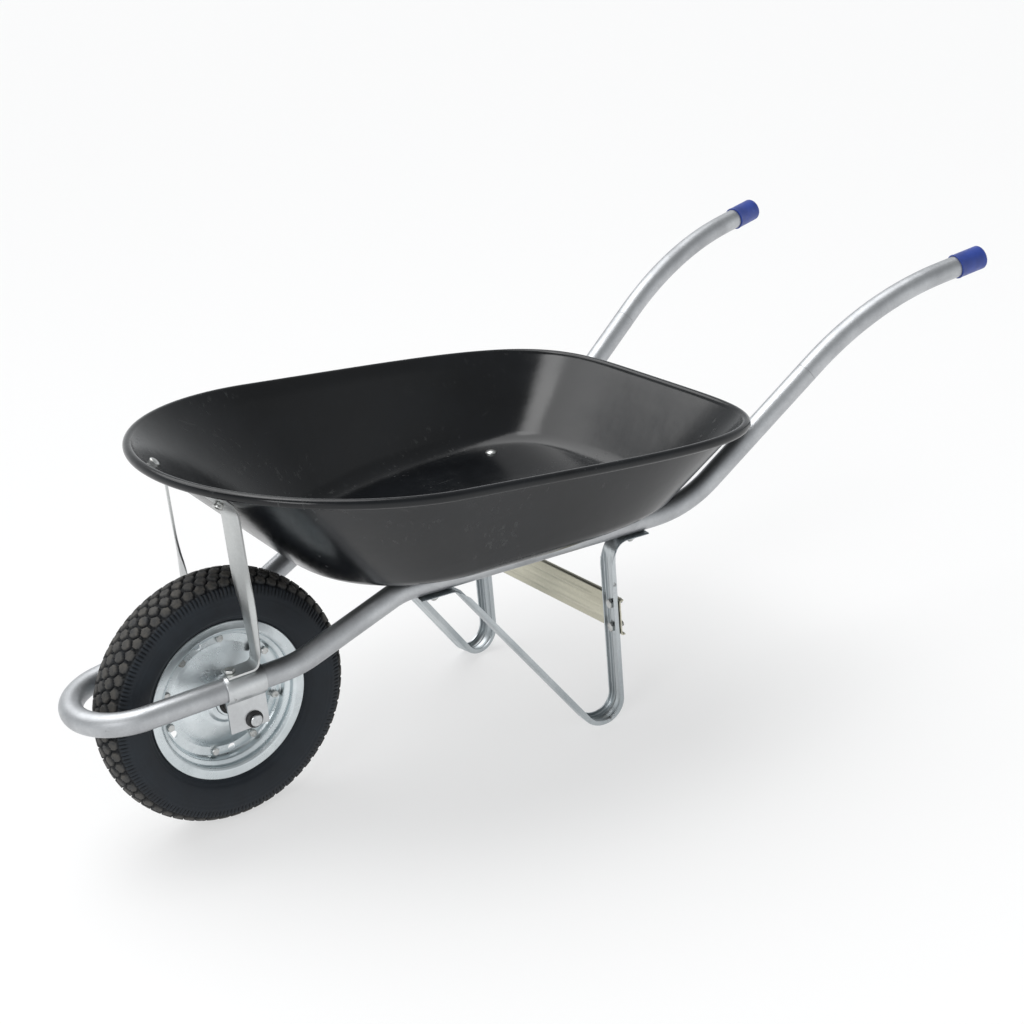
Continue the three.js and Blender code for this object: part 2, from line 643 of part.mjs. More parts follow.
// A strap folded over the tube, with its two tails pressed together under it to hold the axle.
function bracket(side) {
  const half = BRACKET_PLATE / 2;
  const neck = Math.asin(half / BRACKET_RADIUS);
  const bottom = AXLE_HEIGHT - BRACKET_BELOW_AXLE - frontHeight(0);
  const section = new THREE.Shape();
  section.moveTo(-half, bottom);
  section.lineTo(half, bottom);
  section.absarc(0, 0, BRACKET_RADIUS, -Math.PI / 2 + neck, Math.PI * 1.5 - neck, false);
  section.closePath();
  const depth = BRACKET_END - BRACKET_START;
  const strap = new THREE.ExtrudeGeometry(section, { depth, curveSegments: ROUND / 2, bevelEnabled: false });
  strap.applyMatrix4(new THREE.Matrix4().makeBasis(vec(0, 1, 0), vec(0, 0, 1), vec(1, 0, FRONT_SLOPE)));
  strap.translate(BRACKET_START, 0, frontHeight(BRACKET_START));
  const line = railLine().map((p) => vec(p.x, 0, p.y));
  const toLocal = railFrame(side).matrix.clone().invert();
  const axleHole = rod(boreRadius(INSERT_RADIUS + GAP), -2 * RAIL_AT_AXLE, 2 * RAIL_AT_AXLE);
  return cut(strap, [
    tube(line, boreRadius(TUBE_RADIUS + GAP)),
    axleHole.translate(0, 0, AXLE_HEIGHT).applyMatrix4(toLocal),
    drill(overTube(BRACKET_RADIUS), FRONT_DOWN, 2 * BRACKET_WALL),
  ]);
}

// ---- Legs and brace -----------------------------------------------------------------------------------

// [u, z] corners of a leg: front tab, sloping run, round foot, upright run, rear tab.
function legLine() {
  const start = new THREE.Vector2(LEG_FRONT_TAB.end, LEG_TAB_HEIGHT);
  const footCentre = new THREE.Vector2(LEG_BACK - FOOT_RADIUS, FOOT_RADIUS + LEG_SHEET / 2);
  const span = footCentre.clone().sub(start);
  const fall = Math.atan2(-span.y, span.x) + Math.asin(FOOT_RADIUS / span.length());
  const footCorner = LEG_TAB_HEIGHT - Math.tan(fall) * (LEG_BACK - LEG_FRONT_TAB.end);
  return rounded([
    { at: [LEG_FRONT_TAB.start, LEG_TAB_HEIGHT] },
    { at: [LEG_FRONT_TAB.end, LEG_TAB_HEIGHT], radius: LEG_FRONT_TAB.bend },
    { at: [LEG_BACK, footCorner], radius: FOOT_RADIUS },
    { at: [LEG_BACK, LEG_TAB_HEIGHT], radius: LEG_REAR_TAB.bend },
    { at: [LEG_REAR_TAB.end, LEG_TAB_HEIGHT] },
  ], 18 * DEGREE);
}

function leg() {
  const line = legLine().map((p) => vec(p.x, 0, p.y));
  const half = LEG_SHEET / 2;
  const wide = LEG_WIDTH / 2;
  const flat = half + GAP;
  const across = vec(0, 1, 0);
  const outlineAt = (height) => [
    [-wide, -half], [wide, -half], [wide, height], [wide - LEG_SHEET, height], [wide - LEG_SHEET, half],
    [LEG_SHEET - wide, half], [LEG_SHEET - wide, height], [-wide, height],
  ];
  const stations = line.map((place, i) => {
    const direction = directionAt(line, i);
    const normal = vec(-direction.z, 0, direction.x);
    const onTab = i < LEG_TAB_STATIONS || i >= line.length - LEG_TAB_STATIONS;
    return { place, across, normal, outline: outlineAt(onTab ? flat : LEG_FLANGE) };
  });
  const holes = LEG_BOLTS_ALONG.map((u) => drill(vec(u, 0, LEG_TAB_HEIGHT), DOWN, 2 * LEG_SHEET));
  for (const height of braceBoltHeights()) {
    holes.push(drill(vec(LEG_BACK, 0, height), vec(1, 0, 0), 2 * LEG_SHEET));
  }
  return cut(strip(stations), holes);
}

const braceBoltHeights = () => [BRACE_MIDDLE + BRACE_BOLT_SPACING / 2, BRACE_MIDDLE - BRACE_BOLT_SPACING / 2];
const braceAlong = () => LEG_BACK + LEG_SHEET / 2 + GAP + BRACE_SHEET / 2;

// A channel across the backs of both legs, with its ends bent to lie flat on them.
function brace() {
  const wide = LEG_WIDTH / 2;
  const bend = wide + BRACE_FOLD;
  const frames = [SIDES.left, SIDES.right].map((side) => railFrame(side).matrix);
  const local = (frame, v) => vec(braceAlong(), v, BRACE_MIDDLE).applyMatrix4(frame);
  const points = [
    local(frames[0], -wide), local(frames[0], bend),
    local(frames[1], -bend), local(frames[1], wide),
  ];
  const half = BRACE_HEIGHT / 2;
  const channel = [[-half, BRACE_FLANGE], [-half, 0], [half, 0], [half, BRACE_FLANGE]];
  const outline = sheetOutline(channel, BRACE_SHEET);
  const stations = points.map((place, i) => {
    const direction = directionAt(points, i);
    return { place, across: vec(0, 0, 1), normal: vec(direction.y, -direction.x, 0), outline };
  });
  const holes = [];
  for (const frame of frames) {
    for (const height of braceBoltHeights()) {
      holes.push(drill(vec(braceAlong(), 0, height), vec(1, 0, 0), 2 * BRACE_SHEET).applyMatrix4(frame));
    }
  }
  return cut(strip(stations), holes);
}

// ---- Fasteners ----------------------------------------------------------------------------------------

// Hexagon head and shank along Y: the head's underside is at 0 and the shank runs to its length.
const hexBolt = (length, size = M8) => join([
  hexagon(size.head, -size.headHeight, 0),
  rod(size.shank, -1, length, 0, BOLT_SIDES),
]);

// A domed head and shank along Y.
const domedBolt = (length) => join([
  turned([[0, -M8.domeHeight], [M8.dome * 0.6, -M8.domeHeight * 0.8], [M8.dome, 0], [0, 0]], 12),
  rod(M8.shank, -1, length, 0, BOLT_SIDES),
]);

const nut = () => cut(
  hexagon(M8.head, 0, M8.nutHeight),
  [rod(boreRadius(M8.shank + GAP, BOLT_SIDES), -1, M8.nutHeight + 1, 0, BOLT_SIDES)],
);

// ---- Wheel --------------------------------------------------------------------------------------------

// The left or right half of the rim: cone from the hub, flat ring, well, bead seat and flange.
function rimHalf(side) {
  const skinMiddle = GAP / 2 + RIM_SHEET / 2;
  const flangeMiddle = RIM_WIDTH / 2 - RIM_SHEET / 2;
  const hubFit = boreRadius(HUB_RADIUS + GAP, WHEEL_STEPS);
  const hubPlace = HUB_LENGTH / 2 - HUB_SEAM_INSET;
  const wellEdge = 2;
  const line = [
    [hubFit, hubPlace], [hubFit + HUB_SEAM_INSET, hubPlace],
    [DISC_INNER_RADIUS - DISC_FOLD, skinMiddle + DISC_FOLD / 2], [DISC_INNER_RADIUS, skinMiddle],
    [WELL_RADIUS - wellEdge, skinMiddle], [WELL_RADIUS, skinMiddle + wellEdge],
    [WELL_RADIUS, WELL_HALF_WIDTH], [BEAD_SEAT_RADIUS, BEAD_SEAT_START],
    [BEAD_SEAT_RADIUS, flangeMiddle - 1.5 * RIM_SHEET], [BEAD_SEAT_RADIUS + 1.5 * RIM_SHEET, flangeMiddle],
    [FLANGE_RADIUS, flangeMiddle],
  ];
  const body = turned(sheetOutline(line, RIM_SHEET).map(([r, y]) => [r, side * y]), WHEEL_STEPS);
  const holes = WHEEL_BOLT_ANGLES.map((degrees) =>
    drill(vec(...wheelPlace(WHEEL_BOLT_CIRCLE, degrees)), vec(0, 1, 0), 10 * RIM_SHEET, M6));
  for (const degrees of DISC_HOLE_ANGLES) holes.push(discHole(degrees));
  if (side < 0) {
    const valveHole = rod(boreRadius(VALVE_RADIUS + GAP, VALVE_SIDES), -15, 15, 0, VALVE_SIDES);
    const [x, , z] = wheelPlace(WELL_RADIUS, VALVE_ANGLE);
    holes.push(along(valveHole, vec(x, 0, z), vec(x, -VALVE_OFFSET, z)));
  }
  return cut(body, holes);
}

// [x, y, z] on the wheel's middle plane, from its own centre.
function wheelPlace(radius, degrees) {
  return [radius * Math.cos(degrees * DEGREE), 0, radius * Math.sin(degrees * DEGREE)];
}

// A D-shaped hole through the flat ring of the disc, round side towards the hub.
function discHole(degrees) {
  const shape = new THREE.Shape();
  shape.moveTo(-DISC_HOLE_RADIUS, 0);
  shape.absarc(0, 0, DISC_HOLE_RADIUS, Math.PI, FULL_TURN, false);
  shape.lineTo(DISC_HOLE_RADIUS, DISC_HOLE_RADIUS * 0.4);
  shape.lineTo(-DISC_HOLE_RADIUS, DISC_HOLE_RADIUS * 0.4);
  const depth = 16;
  const hole = new THREE.ExtrudeGeometry(shape, { depth, curveSegments: 6, bevelEnabled: false });
  hole.translate(0, 0, -depth / 2).rotateX(Math.PI / 2).rotateY((90 - degrees) * DEGREE);
  return hole.translate(...wheelPlace(WHEEL_BOLT_CIRCLE + 1, degrees));
}

function tyre() {
  const radius = TYRE_DIAMETER / 2;
  const half = TYRE_WIDTH / 2;
  const toe = boreRadius(BEAD_SEAT_RADIUS + RIM_SHEET / 2 + GAP, WHEEL_STEPS);
  const beadOut = RIM_WIDTH / 2 - RIM_SHEET - GAP;
  const beadIn = beadOut - BEAD_WIDTH;
  const outer = [
    [toe, beadOut - 4], [toe + 4, beadOut],
    [FLANGE_RADIUS + 2, beadOut], [FLANGE_RADIUS + 6, half - TYRE_WALL],
    [upTyre(SIDEWALL_SHARE), half], [upTyre(11 / 17), half - 1],
    [upTyre(55 / 68), half - 7], [upTyre(16 / 17), half - 18], [radius, half - 32],
  ];
  const inner = [
    [upTyre(14 / 17), half - 32], [upTyre(3 / 4), half - 22], [upTyre(11 / 17), half - 12],
    [upTyre(1 / 2), half - TYRE_WALL - 1], [upTyre(11 / 34), half - TYRE_WALL],
    [upTyre(2 / 17), half - TYRE_WALL - 7],
    [toe + 12, beadIn + 1], [toe, beadIn],
  ];
  const mirror = (points) => points.map(([r, y]) => [r, -y]).reverse();
  return turned([...outer, ...mirror(outer), ...mirror(inner), ...inner], WHEEL_STEPS);
}

// The air tube inside the tyre, left open along its inner line under the rim.
function innerTube() {
  const half = TYRE_WIDTH / 2 - TYRE_WALL - TUBE_INSIDE_TYRE;
  const low = boreRadius(BEAD_SEAT_RADIUS + RIM_SHEET / 2 + TUBE_STAND, INNER_TUBE_STEPS);
  const high = upTyre(49 / 68);
  const up = (share) => low + share * (high - low);
  const beadClear = RIM_WIDTH / 2 - RIM_SHEET - BEAD_WIDTH - 1.5;
  const line = [
    [low, TUBE_SLIT], [low, beadClear - 5], [up(0.24), beadClear - 1], [up(0.51), half - 4],
    [up(0.7), half - 1], [up(0.86), half - 12], [up(0.965), half - 24],
  ];
  const mirrored = line.map(([r, y]) => [r, -y]).reverse();
  return turned(sheetOutline([...line, ...mirrored], TUBE_RUBBER), INNER_TUBE_STEPS);
}

function wheel() {
  const group = new THREE.Group();
  group.position.z = AXLE_HEIGHT;
  piece('tyre', tyre(), RUBBER, group);
  piece('inner_tube', innerTube(), RUBBER, group);
  piece('rim_left', rimHalf(SIDES.left), ZINC, group);
  piece('rim_right', rimHalf(SIDES.right), ZINC, group);
  const hubEnd = HUB_LENGTH / 2;
  piece('hub', rod(HUB_RADIUS, -hubEnd, hubEnd, boreRadius(HUB_RADIUS - HUB_WALL)), ZINC, group);
  const bearingRadius = HUB_RADIUS - HUB_WALL - GAP;
  for (const [name, side] of Object.entries(SIDES)) {
    const outerEnd = side * (hubEnd - BEARING_RECESS);
    const innerEnd = outerEnd - side * BEARING_LENGTH;
    const ends = [outerEnd, innerEnd].sort((a, b) => a - b);
    const bearing = rod(bearingRadius, ...ends, boreRadius(AXLE_RADIUS + GAP));
    piece(`hub_bearing_${name}`, bearing, BLACK_PLASTIC, group);
  }
  const discFace = GAP / 2 + RIM_SHEET + GAP;
  const shankEnd = discFace + M6.nutHeight + THREAD_SHOWING;
  WHEEL_BOLT_ANGLES.forEach((degrees, i) => {
    const nutPlace = hexagon(M6.head, discFace, discFace + M6.nutHeight);
    const bolt = join([hexBolt(discFace + shankEnd, M6).translate(0, -discFace, 0), nutPlace]);
    const mesh = piece(`wheel_bolt_${i + 1}`, bolt, ZINC, group);
    mesh.position.set(...wheelPlace(WHEEL_BOLT_CIRCLE, degrees));
  });
  const valve = new THREE.Group();
  valve.position.y = -VALVE_OFFSET;
  valve.rotation.y = -VALVE_ANGLE * DEGREE;
  group.add(valve);
  const stemTop = BEAD_SEAT_RADIUS + RIM_SHEET / 2 + TUBE_STAND - TUBE_RUBBER / 2 - GAP;
  const capInner = VALVE_TIP + VALVE_CAP_LENGTH;
  const spoke = (from, to) => along(rod(VALVE_RADIUS, from, to, 0, VALVE_SIDES), vec(1, 0, 0), vec(0, 0, 0));
  piece('valve_stem', spoke(capInner + GAP, stemTop), BLACK_PLASTIC, valve);
  piece('valve_cap', spoke(VALVE_TIP, capInner), BLACK_PLASTIC, valve);
  return group;
}

// ---- Assembly -----------------------------------------------------------------------------------------

piece('frame_tube', frameTube(), GALVANISED);
piece('tray', tray(), BLACK_PAINT);
piece('cross_brace', brace(), YELLOW_ZINC);
barrow.add(wheel());

const axleGroup = new THREE.Group();
axleGroup.position.z = AXLE_HEIGHT;
barrow.add(axleGroup);
piece('axle', rod(AXLE_RADIUS, -AXLE_END, AXLE_END), ZINC, axleGroup);

for (const [name, side] of Object.entries(SIDES)) {
  piece(`handle_tube_${name}`, handleTube(side), GALVANISED);
  piece(`grip_${name}`, grip(side), BLUE_PLASTIC);
  piece(`front_stay_${name}`, stay(side), GALVANISED);

  const insertEnds = [-INSERT_LENGTH / 2, INSERT_LENGTH / 2].map((offset) => side * RAIL_AT_AXLE + offset);
  const axleBore = boreRadius(AXLE_RADIUS + GAP);
  piece(`axle_insert_${name}`, rod(INSERT_RADIUS, ...insertEnds, axleBore), BLACK_PLASTIC, axleGroup);
  const spacerEnds = [HUB_LENGTH / 2 + GAP, RAIL_AT_AXLE - INSERT_LENGTH / 2 - GAP].map((end) => side * end);
  spacerEnds.sort((a, b) => a - b);
  piece(`axle_spacer_${name}`, rod(SPACER_RADIUS, ...spacerEnds, axleBore), ZINC, axleGroup);

  const rail = railFrame(side);
  barrow.add(rail);
  piece(`axle_bracket_${name}`, bracket(side), GALVANISED, rail);
  piece(`leg_${name}`, leg(), GALVANISED, rail);

  LEG_BOLTS_ALONG.forEach((u, i) => {
    const end = ['front', 'rear'][i];
    const floorTop = TRAY_UNDERSIDE + TRAY_SHEET + GAP;
    const nutTop = LEG_TAB_HEIGHT - LEG_SHEET / 2 - GAP;
    const length = floorTop - nutTop + M8.nutHeight + THREAD_SHOWING;
    piece(`tray_bolt_${end}_${name}`, along(domedBolt(length), DOWN, vec(u, 0, floorTop)), ZINC, rail);
    piece(`tray_nut_${end}_${name}`, along(nut(), DOWN, vec(u, 0, nutTop)), ZINC, rail);
  });

  braceBoltHeights().forEach((height, i) => {
    const end = ['upper', 'lower'][i];
    const front = LEG_BACK - LEG_SHEET / 2 - GAP;
    const back = braceAlong() + BRACE_SHEET / 2 + GAP;
    const rearward = vec(1, 0, 0);
    const length = back - front + M8.nutHeight + 2 * THREAD_SHOWING;
    piece(`brace_bolt_${end}_${name}`, along(hexBolt(length), rearward, vec(front, 0, height)), ZINC, rail);
    piece(`brace_nut_${end}_${name}`, along(nut(), rearward, vec(back, 0, height)), ZINC, rail);
  });

  const footTop = overTube(saddleHeight() + STAY_SHEET + GAP);
  const footLength = STAY_SHEET + BRACKET_WALL + TUBE_WALL + 4 * GAP + THREAD_SHOWING;
  piece(`stay_foot_bolt_${name}`, along(hexBolt(footLength), FRONT_DOWN, footTop), ZINC, rail);
  const { outward, place } = stayTabBolt(side);
  const toInside = STAY_SHEET / 2 + STAY_STAND + TRAY_SHEET + GAP;
  const inner = place.clone().addScaledVector(outward, -toInside);
  const tabStack = toInside + STAY_SHEET / 2 + GAP;
  const tabBolt = along(domedBolt(tabStack + THREAD_SHOWING), outward, inner);
  const tabNut = along(hexagon(M8.head, tabStack, tabStack + M8.nutHeight), outward, inner);
  piece(`stay_top_bolt_${name}`, join([tabBolt, tabNut]), ZINC);
}

// The origin is the middle of the whole outline, on the ground.
barrow.updateMatrixWorld(true);
const box = new THREE.Box3().setFromObject(barrow, true);
const middle = box.getCenter(new THREE.Vector3());
barrow.position.set(-middle.x, -middle.y, -box.min.z);
barrow.updateMatrixWorld(true);

export default barrow;
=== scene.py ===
"""A builder's wheelbarrow: galvanised tube frame, black pressed tray, zinc-plated wheel with a block-tread
tyre.

Shapes are worked out in millimetres from the point on the ground under the axle (X towards the handles,
Y to the user's right, Z up) and are put into the meshes in metres, in the frame's own place.
"""

import math

import bmesh
import bpy
import numpy as np
from mathutils import Matrix, Vector


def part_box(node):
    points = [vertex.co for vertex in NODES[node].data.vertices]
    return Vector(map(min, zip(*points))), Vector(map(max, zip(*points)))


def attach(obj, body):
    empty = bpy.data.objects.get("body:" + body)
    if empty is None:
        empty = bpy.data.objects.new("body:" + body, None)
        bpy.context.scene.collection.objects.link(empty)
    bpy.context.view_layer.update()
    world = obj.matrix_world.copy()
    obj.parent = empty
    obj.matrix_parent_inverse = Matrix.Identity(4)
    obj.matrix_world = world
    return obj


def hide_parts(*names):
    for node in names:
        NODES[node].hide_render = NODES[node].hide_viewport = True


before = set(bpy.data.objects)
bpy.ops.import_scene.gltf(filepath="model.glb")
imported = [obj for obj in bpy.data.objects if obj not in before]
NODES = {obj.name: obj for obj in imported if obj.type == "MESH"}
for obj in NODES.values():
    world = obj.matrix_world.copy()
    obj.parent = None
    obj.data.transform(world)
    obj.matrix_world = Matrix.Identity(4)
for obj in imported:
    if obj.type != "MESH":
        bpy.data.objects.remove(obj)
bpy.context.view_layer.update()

SIDES = {"left": -1, "right": 1}
MM = 0.001
TURN = 2 * math.pi

# ---- Sizes shared by several pieces, in millimetres -----------------------------------------------------

axle_low, axle_high = (np.array(corner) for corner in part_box("axle"))
UNDER_AXLE = np.array([(axle_low[0] + axle_high[0]) / 2, 0.0, 0.0])
AXLE_HEIGHT = (axle_low[2] + axle_high[2]) / 2 / MM

WHEEL_CENTRE = np.array([0.0, 0.0, AXLE_HEIGHT])
AXLE_END = 106.0

GAP = 0.3
TUBE_RADIUS, TUBE_BORE = 16.5, 15.0
RAIL_SPREAD, RAIL_AT_AXLE = math.atan(0.13), 95.4
RAIL_HEIGHT, AXLE_RUN_HEIGHT = 305.5, 239.0
FRONT_SLOPE, REAR_SLOPE, HANDLE_RISE = 0.05, 0.693, 0.125
LOOP_RADIUS = 77.8
AXLE_BEND, TRAY_FRONT_BEND = (72.0, 143.0), (233.5, 90.0)  # along the rail, radius
TRAY_REAR_BEND, HANDLE_BEND = (699.0, 178.0), (1048.0, 540.0)
SEAM_ALONG, HANDLE_END = 925.0, 1260.5
TRAY_SHEET, TRAY_UNDERSIDE = 1.6, RAIL_HEIGHT + TUBE_RADIUS + GAP
RIM_LINE = dict(front=-43, middle=248, rear=800, front_half=288, rear_half=312, round=2.02, square=4.8)
RIM_HEIGHT_AT_AXLE, RIM_FALL = 526.1, 0.124
FLOOR_LINE = dict(front=174, middle=330, rear=676, front_half=161, rear_half=230, round=2.3, square=4.1)
LEG_SHEET, LEG_WIDTH, LEG_FLANGE, LEG_BACK = 2.5, 34.0, 7.0, 567.0
LEG_TAB_HEIGHT = RAIL_HEIGHT - TUBE_RADIUS - GAP - LEG_SHEET / 2
LEG_BOLTS_ALONG = (282.0, 603.0)
BRACE_MIDDLE, BRACE_HEIGHT, BRACE_SHEET = 167.0, 57.0, 2.0
BRACE_BOLT_ROWS = (19.0, -19.0)
STAY_BOLT_ALONG, STAY_SHEET, STAY_STAND, STAY_TAB = -21.0, 3.0, 0.9, 34
BRACKET_RADIUS = TUBE_RADIUS + GAP + 2.8
BRACKET_START, BRACKET_END, BRACKET_BOTTOM, BRACKET_PLATE = -34.0, 21.0, 172.5, 5.0
M8_BOLT, M8_NUT = (6.8, 5.0, 4.0), (6.8, 6.2, 4.3)  # flats, height, shank or bore
BOLT_HOLE = 4.6


# ---- Mesh helpers ---------------------------------------------------------------------------------------

def grid_faces(rows, columns, wrap_rows=False, wrap_columns=True):
    """Quads of a grid of rows by columns of points, joined to its own start where it wraps."""
    last_row = rows if wrap_rows else rows - 1
    last_column = columns if wrap_columns else columns - 1
    r, c = np.meshgrid(np.arange(last_row), np.arange(last_column), indexing="ij")
    ahead_r, ahead_c = (r + 1) % rows, (c + 1) % columns
    corners = (r * columns + c, r * columns + ahead_c, ahead_r * columns + ahead_c, ahead_r * columns + c)
    return np.stack([corner.ravel() for corner in corners], axis=1)


def make_mesh(name, points, faces, sharp=35.0):
    """A mesh from an array of points in millimetres and a list of arrays of faces, smooth except where two
    faces meet at more than the sharp angle in degrees. Doubles at poles are merged and faces turned out."""
    mesh = bpy.data.meshes.new(name)
    mesh.from_pydata((points * MM + UNDER_AXLE).tolist(), [], [f for part in faces for f in part.tolist()])
    work = bmesh.new()
    work.from_mesh(mesh)
    bmesh.ops.remove_doubles(work, verts=work.verts, dist=1e-6)
    bmesh.ops.dissolve_degenerate(work, edges=work.edges, dist=1e-7)
    bmesh.ops.recalc_face_normals(work, faces=work.faces)
    work.to_mesh(mesh)
    work.free()
    shade(mesh, sharp)
    return mesh


def shade(mesh, sharp):
    mesh.polygons.foreach_set("use_smooth", np.ones(len(mesh.polygons), dtype=bool))
    mesh.set_sharp_from_angle(angle=math.radians(sharp))


def place(name, mesh, finish, nodes, body):
    """A finished piece: one material, riding on its body in place of its CAD nodes."""
    piece = bpy.data.objects.new(name, mesh)
    bpy.context.scene.collection.objects.link(piece)
    mesh.materials.clear()
    mesh.materials.append(finish)
    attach(piece, body)
    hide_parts(*nodes)
    return piece


def drilled(mesh, cutters, sharp=35.0):
    """The mesh less each cutter mesh: holes that go right through."""
    whole = bpy.data.objects.new("whole", mesh)
    bpy.context.scene.collection.objects.link(whole)
    helpers = []
    for cutter in cutters:
        helper = bpy.data.objects.new("cutter", cutter)
        bpy.context.scene.collection.objects.link(helper)
        cut = whole.modifiers.new("cut", "BOOLEAN")
        cut.operation, cut.solver, cut.object = "DIFFERENCE", "MANIFOLD", helper
        helpers.append(helper)
    bpy.context.view_layer.update()
    result = bpy.data.meshes.new_from_object(whole.evaluated_get(bpy.context.evaluated_depsgraph_get()))
    for helper in [*helpers, whole]:
        bpy.data.objects.remove(helper)
    shade(result, sharp)
    return result


def unit(vectors):
    return vectors / np.linalg.norm(vectors, axis=-1, keepdims=True)


def directions(stations):
    """Unit directions along a row of points, averaged at each from the runs before and after it."""
    runs = unit(np.diff(stations, axis=0))
    return unit(np.vstack([runs[:1], runs[:-1] + runs[1:], runs[-1:]]))


def rounded(corners, step=3.0):
    """Points of a bent line through [x, y, radius] corners: straight runs joined by arcs of each radius,
    tangent to both runs, with a point every few degrees."""
    points = []
    for i, (x, y, radius) in enumerate(corners):
        corner = np.array([x, y], float)
        if not radius:
            points.append(corner[None])
            continue
        before = unit(np.array(corners[i - 1][:2], float) - corner)
        after = unit(np.array(corners[i + 1][:2], float) - corner)
        half = math.acos(np.clip(before @ after, -1, 1)) / 2
        centre = corner + unit(before + after) * radius / math.sin(half)
        start = corner + before * radius / math.tan(half) - centre
        end = corner + after * radius / math.tan(half) - centre
        sweep = math.atan2(start[0] * end[1] - start[1] * end[0], start @ end)
        count = max(3, int(abs(math.degrees(sweep)) / step) + 1)
        angles = math.atan2(start[1], start[0]) + sweep * np.linspace(0, 1, count)
        points.append(centre + radius * np.stack([np.cos(angles), np.sin(angles)], axis=1))
    return np.vstack(points)


def spread_out(line, longest):
    """The same line with points added so that no run is longer than the longest."""
    lengths = np.linalg.norm(np.diff(line, axis=0), axis=1)
    parts = [np.linspace(a, b, max(2, int(n / longest) + 2))[:-1] for a, b, n in zip(line, line[1:], lengths)]
    return np.vstack([*parts, line[-1:]])


def frames_along(stations):
    """For each station of a path that is never upright: its direction, the level direction across it, and
    the direction square to both."""
    ahead = directions(stations)
    across = unit(np.cross(ahead, [0.0, 0.0, 1.0]))
    return ahead, across, np.cross(across, ahead)


def tube_mesh(name, stations, radius, bore, sides=44):
    """A pipe: circles of the outer radius along the path, then of the bore on the way back."""
    _, across, square = frames_along(stations)
    angles = np.linspace(0, TURN, sides, endpoint=False)
    circle = np.cos(angles)[None, :, None] * across[:, None] + np.sin(angles)[None, :, None] * square[:, None]
    outside = stations[:, None] + radius * circle
    inside = (stations[:, None] + bore * circle)[::-1]
    rings = np.vstack([outside, inside])
    return make_mesh(name, rings.reshape(-1, 3), [grid_faces(len(rings), sides, wrap_rows=True)])


def turned_points(profile, steps):
    """Rings of a turned body about Y: each [radius, y] of the profile carried round a full turn."""
    profile = np.asarray(profile, float)
    angles = np.linspace(0, TURN, steps, endpoint=False)
    radius, y = profile[:, :1], np.repeat(profile[:, 1:2], steps, axis=1)
    return np.stack([radius * np.cos(angles), y, radius * np.sin(angles)], axis=2)


def turned_mesh(name, profile, centre, direction=(0, 1, 0), steps=64, closed=False, sharp=35.0):
    """A turned body whose profile closes on itself or starts and ends on its axis, stood along a
    direction."""
    rings = turned_points(profile, steps)
    turn = np.array(Vector((0, 1, 0)).rotation_difference(Vector(direction)).to_matrix())
    points = rings.reshape(-1, 3) @ turn.T + np.asarray(centre, float)
    return make_mesh(name, points, [grid_faces(len(rings), steps, wrap_rows=closed)], sharp)


def ribbon_mesh(name, stations, across, normal, section, thickness, sharp=35.0):
    """Sheet metal carried along a path. The section holds, for each station, a row of [w, n] points of the
    sheet's middle line: w along across and n along normal. Half the thickness goes to each side of it."""
    run = np.gradient(section, axis=1)
    side = unit(np.stack([-run[..., 1], run[..., 0]], axis=2)) * thickness / 2
    loop = np.concatenate([section + side, (section - side)[:, ::-1]], axis=1)
    points = stations[:, None] + loop[..., :1] * across[:, None] + loop[..., 1:] * normal[:, None]
    count = loop.shape[1]
    ends = [np.arange(count)[::-1], np.arange(count) + (len(stations) - 1) * count]
    caps = []
    for end in ends:
        half = count // 2
        caps.append(np.stack([end[:half - 1], end[1:half], end[::-1][1:half], end[::-1][:half - 1]], axis=1))
    return make_mesh(name, points.reshape(-1, 3), [grid_faces(len(stations), count), *caps], sharp)


def rod_mesh(centre, direction, radius, length, steps=32):
    """A plain round rod about its centre, for holes."""
    half = length / 2
    return turned_mesh("rod", [(0, -half), (radius, -half), (radius, half), (0, half)], centre, direction,
                       steps)


# ---- Lines of the frame ---------------------------------------------------------------------------------

def rear_height(u):
    return RAIL_HEIGHT + REAR_SLOPE * (u - TRAY_REAR_BEND[0])


def front_height(u):
    return AXLE_RUN_HEIGHT + FRONT_SLOPE * u


def on_rail(side, u, z, v=0.0):
    """Points of a side's own upright plane, u along the rail from the axle, v across it and z up."""
    u, z = np.broadcast_arrays(np.asarray(u, float), np.asarray(z, float))
    angle = side * RAIL_SPREAD
    x = u * math.cos(angle) - v * math.sin(angle)
    y = side * RAIL_AT_AXLE + u * math.sin(angle) + v * math.cos(angle)
    return np.stack([x, y, z], axis=-1)


def rail_directions(side):
    """Along and across a side's plane."""
    angle = side * RAIL_SPREAD
    return np.array([math.cos(angle), math.sin(angle), 0.0]), np.array([-math.sin(angle), math.cos(angle),
                                                                        0.0])


LOOP_CENTRE = (LOOP_RADIUS / math.cos(RAIL_SPREAD) - RAIL_AT_AXLE) / math.tan(RAIL_SPREAD)
LOOP_START = LOOP_CENTRE * math.cos(RAIL_SPREAD) - RAIL_AT_AXLE * math.sin(RAIL_SPREAD)
FRONT_DOWN = unit(np.array([FRONT_SLOPE, 0.0, -1.0]))


def over_tube(side, distance):
    """Straight out from the tube's centre line, over the bolt through a stay's foot."""
    centre = np.array([STAY_BOLT_ALONG, 0.0, front_height(STAY_BOLT_ALONG)]) - distance * FRONT_DOWN
    return on_rail(side, centre[0], centre[2])


